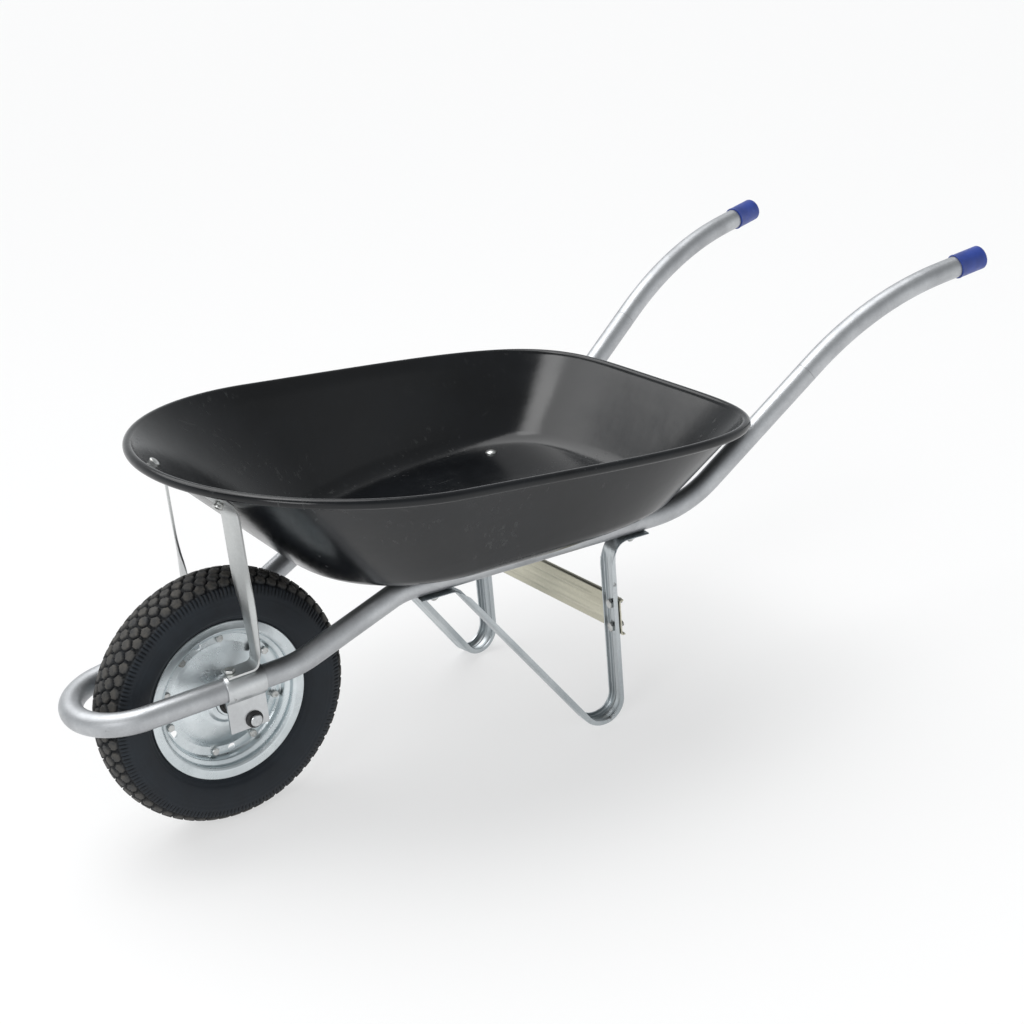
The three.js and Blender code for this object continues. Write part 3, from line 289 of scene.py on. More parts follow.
def frame_line():
    """Seam, tray bends, axle run, half circle round the front of the wheel, and back up the other side."""
    side = rounded([
        (SEAM_ALONG - GAP, rear_height(SEAM_ALONG - GAP), 0),
        (TRAY_REAR_BEND[0], RAIL_HEIGHT, TRAY_REAR_BEND[1]),
        (TRAY_FRONT_BEND[0], RAIL_HEIGHT, TRAY_FRONT_BEND[1]),
        (AXLE_BEND[0], front_height(AXLE_BEND[0]), AXLE_BEND[1]),
        (LOOP_START, front_height(LOOP_START), 0),
    ])
    side = spread_out(side, 40)
    angles = -math.pi / 2 - RAIL_SPREAD - (math.pi - 2 * RAIL_SPREAD) * np.linspace(0, 1, 41)[1:-1]
    x = LOOP_CENTRE + LOOP_RADIUS * np.cos(angles)
    loop = np.stack([x, LOOP_RADIUS * np.sin(angles), front_height(x)], axis=1)
    left = on_rail(SIDES["left"], side[:, 0], side[:, 1])
    right = on_rail(SIDES["right"], side[:, 0], side[:, 1])[::-1]
    return np.vstack([left, loop, right])


def handle_line(side):
    end = HANDLE_END - 1.8 - GAP
    bend_height = rear_height(HANDLE_BEND[0])
    line = rounded([
        (SEAM_ALONG, rear_height(SEAM_ALONG), 0),
        (HANDLE_BEND[0], bend_height, HANDLE_BEND[1]),
        (end, bend_height + HANDLE_RISE * (end - HANDLE_BEND[0]), 0),
    ], 1.5)
    return on_rail(side, line[:, 0], line[:, 1])


# ---- Lines of the tray ----------------------------------------------------------------------------------

def outline(line, turn):
    """Plan of the floor or the rim. In the front half x and y follow the sine and cosine of the quarter
    angle raised to two over one power, in the rear half to two over another; the half width grows evenly
    from front to rear. turn runs 0 to 4 from the left side by way of the front."""
    turn = np.asarray(turn, float) % 4
    quarter = np.floor(turn).astype(int)
    share = turn - quarter
    angle = np.where(quarter % 2 == 0, share, 1 - share) * math.pi / 2
    front = quarter < 2
    power = 2 / np.where(front, line["round"], line["square"])
    end = np.where(front, line["front"], line["rear"])
    x = line["middle"] + (end - line["middle"]) * np.sin(angle) ** power
    share_back = (x - line["front"]) / (line["rear"] - line["front"])
    half = line["front_half"] + (line["rear_half"] - line["front_half"]) * share_back
    sign = np.where((quarter == 0) | (quarter == 3), -1, 1)
    return np.stack([x, sign * half * np.maximum(np.cos(angle), 0) ** power], axis=-1)


FOOT_RADIUS_OF_WALL = 48.0


def wall(turn, rise):
    """Underside of the tray. Rise 0 to a half goes round the wall's rounded foot, an arc tangent to the
    floor, and a half to 1 up the straight run that is tangent to the arc and ends at the rim."""
    turn, rise = np.broadcast_arrays(np.asarray(turn, float), np.asarray(rise, float))
    floor, rim = outline(FLOOR_LINE, turn), outline(RIM_LINE, turn)
    spread = np.linalg.norm(rim - floor, axis=-1)
    above = RIM_HEIGHT_AT_AXLE - RIM_FALL * rim[..., 0] - TRAY_UNDERSIDE - FOOT_RADIUS_OF_WALL
    reach = np.hypot(spread, above)
    slope = np.arctan2(above, spread) + np.arcsin(FOOT_RADIUS_OF_WALL / reach)
    bent = slope * np.minimum(rise * 2, 1)
    run = np.sqrt(reach ** 2 - FOOT_RADIUS_OF_WALL ** 2) * np.maximum(rise * 2 - 1, 0)
    out = (FOOT_RADIUS_OF_WALL * np.sin(bent) + run * np.cos(slope)) / spread
    up = FOOT_RADIUS_OF_WALL * (1 - np.cos(bent)) + run * np.sin(slope)
    plan = floor + (rim - floor) * out[..., None]
    return np.concatenate([plan, TRAY_UNDERSIDE + up[..., None]], axis=-1)


def wall_directions(turn, rise, step=0.01):
    """Unit directions at the wall: level along it, up it, and out of the tray."""
    level = unit(wall(turn + step, rise) - wall(turn - step, rise))
    upward = unit(wall(turn, np.minimum(rise + 0.01, 1)) - wall(turn, np.maximum(rise - 0.01, 0)))
    outward = unit(np.cross(level, upward))
    return level, upward, np.where(outward[..., 2:] > 0, -outward, outward)


TRAY_STEPS = 11  # in each quarter of the CAD tray's outline
HALF_STEP = 0.5 / TRAY_STEPS
STAY_TURN = math.floor(0.77 * TRAY_STEPS) / TRAY_STEPS + HALF_STEP


def stay_tab(side):
    """Where the flat top of a stay lies on the tray: level, up and out, and its top and bottom ends."""
    turn, rise = (STAY_TURN if side < 0 else 2 - STAY_TURN), 0.96
    level, upward, outward = wall_directions(turn, rise, HALF_STEP)
    flat = (wall(turn - HALF_STEP, rise) + wall(turn + HALF_STEP, rise)) / 2
    top = flat + outward * (STAY_STAND + STAY_SHEET / 2)
    return level, upward, outward, top, top - upward * STAY_TAB


# ---- Finishes -------------------------------------------------------------------------------------------

class Finish:
    """A material being built: nodes are added by type and wired by the names of their sockets."""

    def __init__(self, name, roughness=0.5, metallic=0.0, **sockets):
        self.material = bpy.data.materials.new(name)
        self.material.use_nodes = True
        self.tree = self.material.node_tree
        self.shader = next(n for n in self.tree.nodes if n.type == "BSDF_PRINCIPLED")
        self.shader.inputs["Roughness"].default_value = roughness
        self.shader.inputs["Metallic"].default_value = metallic
        for socket, value in sockets.items():
            self.shader.inputs[socket.replace("_", " ")].default_value = value
        self.place = self.add("TexCoord").outputs["Object"]

    def add(self, kind, inputs=None, **settings):
        node = self.tree.nodes.new("ShaderNode" + kind)
        for key, value in settings.items():
            setattr(node, key, value)
        for socket, value in (inputs or {}).items():
            self.put(node, socket, value)
        return node

    def put(self, node, socket, value):
        if isinstance(value, bpy.types.NodeSocket):
            self.tree.links.new(value, node.inputs[socket])
        else:
            node.inputs[socket].default_value = value

    def noise(self, scale, detail=4.0, stretch=(1, 1, 1), turn=0.0, rough=0.55):
        """Cloudy values; stretch below 1 draws them out along that axis."""
        where = self.add("Mapping", {"Vector": self.place, "Rotation": (0, 0, turn), "Scale": stretch})
        inputs = {"Vector": where.outputs[0], "Scale": scale, "Detail": detail, "Roughness": rough}
        return self.add("TexNoise", inputs).outputs["Fac"]

    def cells(self, scale):
        """A random value for each small crystal of the surface."""
        node = self.add("TexVoronoi", {"Vector": self.place, "Scale": scale})
        return self.add("SeparateColor", {"Color": node.outputs["Color"]}).outputs[0]

    def ramp(self, value, low, high, to_low=0.0, to_high=1.0):
        """Values from low to high spread over another range, and held outside it."""
        inputs = {0: value, 1: low, 2: high, 3: to_low, 4: to_high}
        return self.add("MapRange", inputs).outputs[0]

    def math(self, operation, first, second):
        return self.add("Math", {0: first, 1: second}, operation=operation).outputs[0]

    def mix(self, share, first, second):
        """First colour turning into the second as the share grows."""
        node = self.add("Mix", data_type="RGBA")
        for socket, value in ((0, share), (6, first), (7, second)):
            if isinstance(value, tuple):
                value = (*value, 1.0)
            self.put(node, socket, value)
        return node.outputs[2]

    def attribute(self, name):
        return self.add("Attribute", attribute_name=name).outputs["Fac"]

    def bump(self, height, strength, distance=0.001):
        inputs = {"Height": height, "Strength": strength, "Distance": distance}
        if self.shader.inputs["Normal"].is_linked:
            inputs["Normal"] = self.shader.inputs["Normal"].links[0].from_socket
        self.put(self.shader, "Normal", self.add("Bump", inputs).outputs[0])

    def finish(self, colour=None, roughness=None, metallic=None):
        for socket, value in (("Base Color", colour), ("Roughness", roughness), ("Metallic", metallic)):
            if value is not None:
                self.put(self.shader, socket, value)
        return self.material


def galvanised(name, light, dark, stretch=(1, 1, 1), turn=0.0, marks=0.66, rough=(0.42, 0.3)):
    """Hot-dip zinc: soft clouds, fine crystals, faint drawn lines, and a few dark handling marks."""
    f = Finish(name, metallic=1.0)
    cloud = f.ramp(f.noise(16, 5, stretch, turn), 0.32, 0.7)
    crystal = f.ramp(f.cells(420), 0.0, 1.0, -0.1, 0.1)
    tone = f.math("ADD", cloud, crystal)
    colour = f.mix(tone, dark, light)
    streak = f.ramp(f.noise(150, 3, stretch, turn), 0.3, 0.75, 0.0, 0.35)
    colour = f.mix(streak, colour, tuple(c * 0.75 for c in light))
    mark = f.math("MULTIPLY", f.ramp(f.noise(21, 6, rough=0.7), marks, marks + 0.06),
                  f.ramp(f.noise(190, 2), 0.4, 0.6, 0.0, 0.8))
    colour = f.mix(mark, colour, (0.10, 0.095, 0.09))
    f.bump(f.noise(260, 3), 0.1, 0.0005)
    return f.finish(colour, f.math("ADD", f.ramp(cloud, 0, 1, *rough), f.math("MULTIPLY", mark, 0.25)))


def wheel_zinc():
    """Bright blue-white zinc plate. Its grain runs round the axle, so highlights spread into wedges."""
    f = Finish("bright_zinc_plate", metallic=1.0, Anisotropic=0.75)
    axle = WHEEL_CENTRE * MM + UNDER_AXLE
    from_axle = f.add("VectorMath", {0: f.place, 1: tuple(axle)}, operation="SUBTRACT").outputs[0]
    round_axle = f.add("VectorMath", {0: from_axle, 1: (0.0, 1.0, 0.0)}, operation="CROSS_PRODUCT").outputs[0]
    f.put(f.shader, "Tangent", f.add("VectorTransform", {"Vector": round_axle}, vector_type="VECTOR",
                                     convert_from="OBJECT", convert_to="WORLD").outputs[0])
    cloud = f.ramp(f.noise(22, 4), 0.3, 0.72)
    colour = f.mix(cloud, (0.60, 0.655, 0.675), (0.76, 0.81, 0.83))
    dull = f.ramp(f.noise(60, 5, rough=0.7), 0.52, 0.68)
    colour = f.mix(f.math("MULTIPLY", dull, 0.3), colour, (0.46, 0.50, 0.52))
    f.bump(f.noise(300, 2), 0.03, 0.0004)
    return f.finish(colour, f.ramp(f.noise(35, 4), 0.3, 0.7, 0.24, 0.34))


def tray_paint():
    """Glossy black stoving paint with a blue cast, uneven like sprayed enamel, with dull patches where sand
    has rubbed it, fine scratches, and pale upright streaks on the walls that are painted highlights."""
    f = Finish("black_tray_paint", Specular_IOR_Level=0.42)
    haze = f.ramp(f.noise(7, 5, rough=0.6), 0.35, 0.75)
    colour = f.mix(haze, (0.0012, 0.0017, 0.0026), (0.0042, 0.0056, 0.0078))
    dust = f.math("MULTIPLY", f.ramp(f.noise(26, 6, rough=0.75), 0.56, 0.76), f.ramp(f.noise(640, 2), 0.45,
                                                                                     0.7))
    scratch = f.ramp(f.noise(55, 2, (0.12, 1.0, 0.35), 0.5), 0.71, 0.735, 0.0, 0.5)
    # Pale upright streaks on the walls: painted highlights, not marks in the paint.
    runs = f.math("MULTIPLY", f.ramp(f.noise(130, 3, (1.0, 1.0, 0.05)), 0.6, 0.7), f.ramp(f.noise(8, 3),
                                                                                          0.5, 0.62))
    # The paint is lightened for real wear (dust, scratches) and for the painted highlight streaks.
    worn = f.math("MAXIMUM", f.math("MULTIPLY", dust, 0.22), f.math("MULTIPLY", scratch, 0.25))
    worn = f.math("MAXIMUM", worn, f.math("MULTIPLY", runs, 0.3))
    colour = f.mix(worn, colour, (0.075, 0.078, 0.078))
    rough = f.math("ADD", f.ramp(haze, 0, 1, 0.16, 0.27), f.math("MULTIPLY", worn, 0.5))
    f.bump(f.noise(11, 3), 0.35, 0.002)
    f.bump(f.noise(90, 3), 0.12, 0.0005)
    return f.finish(colour, rough)


def tyre_rubber():
    """Blue-black rubber; the block tops carry pale road dust, and the grooves are darkened with painted
    shade.
    """
    f = Finish("tyre_rubber", Specular_IOR_Level=0.35)
    cloud = f.ramp(f.noise(26, 5), 0.3, 0.7)
    colour = f.mix(cloud, (0.0075, 0.0105, 0.015), (0.015, 0.0205, 0.0275))
    top = f.math("MULTIPLY", f.attribute("block_top"), f.ramp(f.noise(70, 6, rough=0.75), 0.3, 0.68, 0.1,
                                                              1.0))
    colour = f.mix(top, colour, (0.085, 0.078, 0.068))
    # Grooves mixed towards near black: painted shade in the tread's recesses.
    groove = f.attribute("groove")
    colour = f.mix(f.math("MULTIPLY", groove, 0.75), colour, (0.006, 0.006, 0.0065))
    f.bump(f.noise(900, 2), 0.2, 0.0003)
    return f.finish(colour, f.ramp(cloud, 0, 1, 0.55, 0.68))


def moulded(name, colour, worn, roughness, **sockets):
    """Moulded plastic with slight mottling, rubbed lighter in places."""
    f = Finish(name, **sockets)
    mottle = f.mix(f.ramp(f.noise(60, 4), 0.35, 0.7), colour, tuple(c * 1.35 for c in colour))
    rub = f.ramp(f.noise(120, 5, rough=0.75), 0.62, 0.74, 0.0, 0.35)
    f.bump(f.noise(450, 2), 0.08, 0.0004)
    return f.finish(f.mix(rub, mottle, worn), f.ramp(f.noise(80, 3), 0.3, 0.7, roughness, roughness + 0.12))


def plated_steel(name, light, dirt, amount):
    """Zinc-plated fasteners and turned parts with grime in patches."""
    f = Finish(name, metallic=1.0)
    grime = f.ramp(f.noise(90, 5, rough=0.7), 0.5, 0.68, 0.0, amount)
    colour = f.mix(f.ramp(f.noise(300, 3), 0.3, 0.7), tuple(c * 0.8 for c in light), light)
    f.bump(f.noise(600, 2), 0.08, 0.0003)
    metallic = f.math("SUBTRACT", 1.0, grime)
    return f.finish(f.mix(grime, colour, dirt), f.ramp(grime, 0, 1, 0.28, 0.7), metallic)


TUBE_ZINC = galvanised("galvanised_tube", (0.56, 0.575, 0.59), (0.40, 0.41, 0.425), rough=(0.52, 0.40))
LEG_ZINC = galvanised("galvanised_leg", (0.60, 0.635, 0.65), (0.38, 0.42, 0.44), (1, 1, 0.12), 0.0, 0.62)
STAY_ZINC = galvanised("galvanised_stay", (0.66, 0.675, 0.67), (0.46, 0.475, 0.475), (1, 1, 0.3))
BRACKET_ZINC = galvanised("galvanised_bracket", (0.66, 0.68, 0.69), (0.52, 0.53, 0.54), marks=0.6)
BRACE_ZINC = galvanised("yellow_zinc_brace", (0.64, 0.62, 0.51), (0.40, 0.385, 0.30), (1, 0.06, 1), 0.0, 0.64)
WHEEL_ZINC = wheel_zinc()
TRAY_PAINT = tray_paint()
RUBBER = tyre_rubber()
GRIP_BLUE = moulded("blue_grip", (0.016, 0.043, 0.25), (0.10, 0.16, 0.42), 0.36)
BLACK_PLASTIC = moulded("black_plastic", (0.009, 0.009, 0.010), (0.05, 0.048, 0.045), 0.42)
TUBE_RUBBER = moulded("inner_tube_rubber", (0.012, 0.012, 0.013), (0.03, 0.03, 0.03), 0.6)
BOLT_ZINC = plated_steel("plated_bolts", (0.62, 0.63, 0.62), (0.12, 0.09, 0.06), 0.55)
AXLE_STEEL = plated_steel("plated_axle", (0.60, 0.62, 0.63), (0.10, 0.085, 0.07), 0.4)


# ---- Tubes, handles and grips ---------------------------------------------------------------------------

def frame_tube():
    stations = frame_line()
    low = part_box("frame_tube")[0][0] / MM - UNDER_AXLE[0] / MM + TUBE_RADIUS
    ahead = stations[:, 0] < LOOP_CENTRE
    reach = (LOOP_CENTRE - low) / LOOP_RADIUS
    stations[ahead, 0] = LOOP_CENTRE + (stations[ahead, 0] - LOOP_CENTRE) * min(reach, 1.0)
    mesh = tube_mesh("frame_tube_bent", stations, TUBE_RADIUS, TUBE_BORE)
    place("frame_tube_bent", mesh, TUBE_ZINC, ["frame_tube"], "frame")


def handle(name, side):
    """The handle pipe with its narrower neck pushed into the frame tube, then the cap over its far end."""
    stations = spread_out(handle_line(side), 30)
    ahead = unit(stations[1] - stations[0])
    neck = [stations[0] - ahead * d for d in (58.0, 0.6)]
    _, across, square = frames_along(np.vstack([neck, stations]))
    centres = np.vstack([neck, stations])
    radius = np.r_[14.4, 14.4, np.full(len(stations), TUBE_RADIUS)]
    angles = np.linspace(0, TURN, 44, endpoint=False)[None, :, None]
    circle = np.cos(angles) * across[:, None] + np.sin(angles) * square[:, None]
    outside = centres[:, None] + radius[:, None, None] * circle
    inside = (centres[:, None] + 12.8 * circle)[::-1]
    points = np.vstack([outside, inside])
    mesh = make_mesh("handle", points.reshape(-1, 3), [grid_faces(len(points), 44, wrap_rows=True)])
    place(f"handle_pipe_{name}", mesh, TUBE_ZINC, [f"handle_tube_{name}"], "frame")

    end, back = stations[-1], unit(stations[-1] - stations[-2])
    bore, outer, closed, mouth = TUBE_RADIUS + 0.35, 18.5, 2.1, -47.9
    arc = np.radians(np.linspace(0, 90, 8))
    corner = np.stack([outer - 3.5 + 3.5 * np.cos(arc), closed - 3.5 + 3.5 * np.sin(arc)], axis=1)
    profile = [(0, GAP), (bore, GAP), (bore, mouth), (outer + 0.1, mouth), (outer + 0.4, mouth + 0.4),
               (outer + 0.4, mouth + 2.2), (outer, mouth + 2.8), *corner, (12, closed - 0.1), (11,
                                                                                               closed - 0.5),
               (0, closed - 0.5)]
    cap = turned_mesh("cap", profile, end, back, 64)
    place(f"grip_cap_{name}", cap, GRIP_BLUE, [f"grip_{name}"], "frame")


# ---- Tray -----------------------------------------------------------------------------------------------

def tray():
    """Rings round the outline: floor foot, wall, the bead curled outwards over its top and under, the bead's
    inside, and back down the underside; the floor closes the inner and the outer skin."""
    steps = 4 * 72
    turns = np.arange(steps) * 4 / steps
    rises = np.r_[np.linspace(0, 0.5, 12), np.linspace(0.5, 1, 8)[1:]]
    bead, sheet = 7.0, TRAY_SHEET

    def ring(rise, lift):
        point = wall(turns, rise)
        if rise == 0:
            return point + np.array([0, 0, lift])
        _, _, outward = wall_directions(turns, rise)
        return point - outward * lift

    edge = wall(turns, 1.0)
    level, _, _ = wall_directions(turns, 1.0)
    out = unit(np.stack([-level[:, 1], level[:, 0], np.zeros(steps)], axis=1))
    away = out[:, 0] * (edge[:, 0] - RIM_LINE["middle"]) + out[:, 1] * edge[:, 1]
    out = np.where(away[:, None] < 0, -out, out)

    def curl(degrees, radius):
        a = math.radians(degrees)
        return edge + out * (bead + radius * math.cos(a)) + np.array([0, 0, radius * math.sin(a)])

    angles = np.linspace(158, -128, 20)
    rings = [ring(r, sheet) for r in rises]
    rings += [curl(a, bead) for a in angles]
    rings += [curl(a, bead - sheet) for a in angles[::-1][:-2]]
    rings += [ring(r, 0.0) for r in rises[::-1]]
    middle = np.array([420.0, 0.0, 0.0])
    shrink = np.array([0.75, 0.5, 0.25, 0.001])
    inner = [middle + (ring(0, sheet) - middle) * [k, k, 1] for k in shrink[::-1]]
    outer = [middle + (ring(0, 0.0) - middle) * [k, k, 1] for k in shrink]
    points = np.vstack([*inner, *rings, *outer])
    count = len(points) // steps
    ends = [np.arange(steps)[::-1], np.arange(steps) + (count - 1) * steps]
    mesh = make_mesh("tray_pressing", points, [grid_faces(count, steps)] + [end[None] for end in ends], 50)
    place("tray_pressing", mesh, TRAY_PAINT, ["tray"], "frame")


# ---- Legs, brace, stays and brackets --------------------------------------------------------------------

def channel_section(wide, flange, ribs, corner=3.0, web=41):
    """Middle line of a channel: a flange, a rounded corner, a web with lengthwise ribs, and back up. A rib
    is a bell curve of the given [place, height, width]."""
    half = wide / 2
    w = np.linspace(-half + corner, half - corner, web)
    n = sum(height * np.exp(-((w - at) / width) ** 2) for at, height, width in ribs) + 0 * w
    arc = np.radians(np.linspace(0, 90, 5))[:-1]
    left = np.stack([-half + corner - corner * np.cos(arc), corner - corner * np.sin(arc)], axis=1)
    up = np.array([[-half, flange], [-half, (flange + corner) / 2]])
    start = np.vstack([up, left])
    mirrored = (start * [-1, 1])[::-1]
    return np.vstack([start, np.stack([w, n], axis=1), mirrored])


def leg(name, side):
    """The strip runs down from its front tab, round the foot, and up to its rear tab. The flanges grow from
    nothing where the tabs bend away from the tube."""
    foot = 36.0
    start, end = np.array([311.0, LEG_TAB_HEIGHT]), np.array([LEG_BACK - foot, foot + LEG_SHEET / 2])
    span = end - start
    fall = math.atan2(-span[1], span[0]) + math.asin(foot / np.linalg.norm(span))
    corner = LEG_TAB_HEIGHT - math.tan(fall) * (LEG_BACK - 311.0)
    line = rounded([(256, LEG_TAB_HEIGHT, 0), (311, LEG_TAB_HEIGHT, 14), (LEG_BACK, corner, foot),
                    (LEG_BACK, LEG_TAB_HEIGHT, 22), (626, LEG_TAB_HEIGHT, 0)], 5)
    line = spread_out(line, 9)
    stations = on_rail(side, line[:, 0], line[:, 1])
    ahead = directions(stations)
    _, across = rail_directions(side)
    across = np.repeat(across[None], len(stations), axis=0)
    normal = np.cross(ahead, across) * -1
    normal *= np.sign(normal @ np.array([0, 0, 1.0]))[0]
    travelled = np.r_[0, np.cumsum(np.linalg.norm(np.diff(line, axis=0), axis=1))]
    grow = np.clip((travelled - 58) / 22, 0, 1) * np.clip((travelled[-1] - 62 - travelled) / 24, 0, 1)
    fade = 0.06 + 0.94 * grow * grow * (3 - 2 * grow)
    ribs = [(-6.5, 1.3, 1.7), (6.5, 1.3, 1.7)]
    section = channel_section(LEG_WIDTH - LEG_SHEET, LEG_FLANGE, ribs)
    sections = section[None] * np.stack([np.ones_like(fade), fade], axis=1)[:, None]
    mesh = ribbon_mesh("leg", stations, across, normal, sections, LEG_SHEET, 50)
    along, _ = rail_directions(side)
    holes = [rod_mesh(on_rail(side, u, LEG_TAB_HEIGHT), (0, 0, 1), BOLT_HOLE, 12) for u in LEG_BOLTS_ALONG]
    for offset in BRACE_BOLT_ROWS:
        holes.append(rod_mesh(on_rail(side, LEG_BACK, BRACE_MIDDLE + offset), along, BOLT_HOLE, 12))
    place(f"leg_strip_{name}", drilled(mesh, holes, 50), LEG_ZINC, [f"leg_{name}"], "frame")


def cross_brace():
    """A ribbed channel whose ends are turned to lie flat on the backs of the two legs."""
    u = LEG_BACK + LEG_SHEET / 2 + GAP + BRACE_SHEET / 2
    reach, bend = LEG_WIDTH / 2, LEG_WIDTH / 2 + 4
    corners = np.array([on_rail(-1, u, BRACE_MIDDLE, -reach), on_rail(-1, u, BRACE_MIDDLE, bend),
                        on_rail(1, u, BRACE_MIDDLE, -bend), on_rail(1, u, BRACE_MIDDLE, reach)])
    stations = spread_out(corners, 12)
    ahead = directions(stations)
    across = np.repeat(np.array([[0, 0, 1.0]]), len(stations), axis=0)
    normal = np.stack([ahead[:, 1], -ahead[:, 0], np.zeros(len(stations))], axis=1)
    ribs = [(-14, -1.6, 2.6), (14, -1.6, 2.6), (0, -1.0, 2.0)]
    section = channel_section(BRACE_HEIGHT - BRACE_SHEET, 6, ribs, 2.5, 61)
    middle = np.abs(stations[:, 1]) < 118
    fade = np.where(middle, 1.0, 0.25)
    rib_part = section.copy()
    web = slice(6, -6)
    sections = np.repeat(rib_part[None], len(stations), axis=0)
    sections[:, web, 1] *= fade[:, None]
    mesh = ribbon_mesh("brace", stations, across, normal, sections, BRACE_SHEET, 50)
    holes = []
    for side in SIDES.values():
        along, _ = rail_directions(side)
        for offset in BRACE_BOLT_ROWS:
            holes.append(rod_mesh(on_rail(side, u, BRACE_MIDDLE + offset), along, BOLT_HOLE, 12))
    place("brace_channel", drilled(mesh, holes, 50), BRACE_ZINC, ["cross_brace"], "frame")


def stay(name, side):
    """The strip lies on the saddle, turns up round a small bend, and ends flat on the tray. Its lower part
    is a channel with its edges rolled back, which opens out flat towards the top."""
    level, upward, outward, top, bottom = stay_tab(side)

    def seat(u):
        height = front_height(u) + BRACKET_RADIUS + GAP + STAY_SHEET / 2
        return on_rail(side, u, height)

    toe, heel = seat(-30.0), seat(14.0)
    _, rail_across = rail_directions(side)
    tab_across = level if level @ rail_across > 0 else -level
    corners = [toe, heel, bottom, top]
    points = []
    for i, corner in enumerate(corners):
        if i in (0, 3):
            points.append(corner[None])
            continue
        before, after = unit(corners[i - 1] - corner), unit(corners[i + 1] - corner)
        reach = (11.0, 14.0)[i - 1]
        t = np.linspace(0, 1, 9)[:, None]
        start, end = corner + before * reach, corner + after * reach
        points.append((1 - t) ** 2 * start + 2 * t * (1 - t) * corner + t ** 2 * end)
    line = spread_out(np.vstack(points), 7)
    travelled = np.r_[0, np.cumsum(np.linalg.norm(np.diff(line, axis=0), axis=1))]
    foot = np.linalg.norm(heel - toe)
    rise = np.clip((travelled - foot) / (travelled[-1] - foot - STAY_TAB), 0, 1)
    twist = np.clip(rise * 2.2, 0, 1)
    across = unit(rail_across[None] * (1 - twist[:, None]) + tab_across[None] * twist[:, None])
    ahead = directions(line)
    normal = unit(np.cross(ahead, across))
    across = np.cross(normal, ahead)
    normal *= np.sign(normal[-1] @ outward)
    roll = np.clip((travelled - foot - 4) / 14, 0, 1) * np.clip((0.62 - rise) / 0.3, 0, 1)
    roll = roll * roll * (3 - 2 * roll)
    w = np.linspace(-1, 1, 25)
    across_part = (15 - 0.6 * roll)[:, None] * w
    back = -4.2 * roll[:, None] * np.clip((np.abs(w) - 0.5) / 0.5, 0, 1) ** 1.5
    sections = np.stack([across_part, back + 0 * across_part], axis=2)
    mesh = ribbon_mesh("stay", line, across, normal, sections, STAY_SHEET, 50)
    holes = [rod_mesh(top + (bottom - top) * 0.45, outward, BOLT_HOLE, 16),
             rod_mesh(over_tube(side, BRACKET_RADIUS + 2), FRONT_DOWN, BOLT_HOLE, 12)]
    place(f"stay_strip_{name}", drilled(mesh, holes, 50), STAY_ZINC, [f"front_stay_{name}"], "frame")


def bracket(name, side):
    """A strap folded over the tube: a circle round the tube that runs into two tails pressed together. The
    outline is carried along the tube and the tube's bore and the axle's hole are cut from it."""
    half, neck = BRACKET_PLATE / 2, math.radians(16)
    arc = np.linspace(-math.pi / 2 + neck, 1.5 * math.pi - neck, 60)
    circle = BRACKET_RADIUS * np.stack([np.cos(arc), np.sin(arc)], axis=1)
    bottom = BRACKET_BOTTOM - AXLE_RUN_HEIGHT
    section = np.vstack([[(-half, bottom), (half, bottom), (half, circle[0, 1] - 4)], circle,
                         [(-half, circle[0, 1] - 4)]])
    u = np.array([BRACKET_START, BRACKET_START + 0.6, BRACKET_END - 0.6, BRACKET_END])
    inset = np.array([0.6, 0, 0, 0.6])
    normals = unit(section)
    _, across = rail_directions(side)
    points = []
    for at, shy in zip(u, inset):
        ring = section - normals * shy * 0.5
        centre = on_rail(side, at, front_height(at))
        points.append(centre + ring[:, :1] * across + ring[:, 1:] * np.array([0, 0, 1.0]))
    count = len(section)
    ends = [np.arange(count)[::-1][None], (np.arange(count) + 3 * count)[None]]
    mesh = make_mesh("bracket", np.vstack(points), [grid_faces(4, count), *ends])
    middle = on_rail(side, -6.5, front_height(-6.5))
    along = unit(on_rail(side, 1.0, FRONT_SLOPE) - on_rail(side, 0.0, 0.0))
    cuts = [rod_mesh(middle, along, TUBE_RADIUS + GAP, 90, 48),
            rod_mesh([0, side * RAIL_AT_AXLE, AXLE_HEIGHT], (0, 1, 0), 12.3, 40, 40),
            rod_mesh(over_tube(side, BRACKET_RADIUS), FRONT_DOWN, BOLT_HOLE, 9)]
    place(f"bracket_strap_{name}", drilled(mesh, cuts), BRACKET_ZINC, [f"axle_bracket_{name}"], "frame")


# ---- Bolts and nuts -------------------------------------------------------------------------------------

def threads(start, end, radius, pitch=1.25):
    """Ridges of a screw thread as rings: the radius steps in and out every half pitch."""
    count = max(2, int((end - start) / (pitch / 2)))
    y = np.linspace(start, end, count)
    return [(radius - (0.0 if i % 2 else 0.45), at) for i, at in enumerate(y)]


def hex_rings(profile, flats, steps=48):
    """Rings of a hexagonal bar about Y: each ring is the smaller of the hexagon's own radius at that angle
    and the profile's radius, so a profile that falls in at an end makes the round chamfer of a bolt head."""
    angles = np.linspace(0, TURN, steps, endpoint=False)
    hexagon = flats / np.cos((angles + math.pi / 6) % (math.pi / 3) - math.pi / 6)
    profile = np.asarray(profile, float)
    radius = np.minimum(profile[:, :1], hexagon[None])
    return np.stack([radius * np.cos(angles), np.repeat(profile[:, 1:], steps, axis=1),
                     radius * np.sin(angles)],
                    axis=2)


def hex_profile(flats, low, high):
    """[radius, y] of a chamfered hexagon from low to high."""
    corner = flats / math.cos(math.pi / 6)
    return [(flats * 0.95, low), (corner, low + 0.8), (corner, high - 0.8), (flats * 0.95, high)]


def fastener(name, centre, direction, rings, body):
    """One bolt or nut from its rings about Y, stood along a direction and set by its middle."""
    rings = np.vstack(rings)
    steps = rings.shape[1]
    rings[..., 1] -= (rings[..., 1].min() + rings[..., 1].max()) / 2
    turn = np.array(Vector((0, 1, 0)).rotation_difference(Vector(direction)).to_matrix())
    points = rings.reshape(-1, 3) @ turn.T + centre
    mesh = make_mesh(name, points, [grid_faces(len(rings), steps)], 28)
    place(f"{name}_turned", mesh, BOLT_ZINC, [name], body)


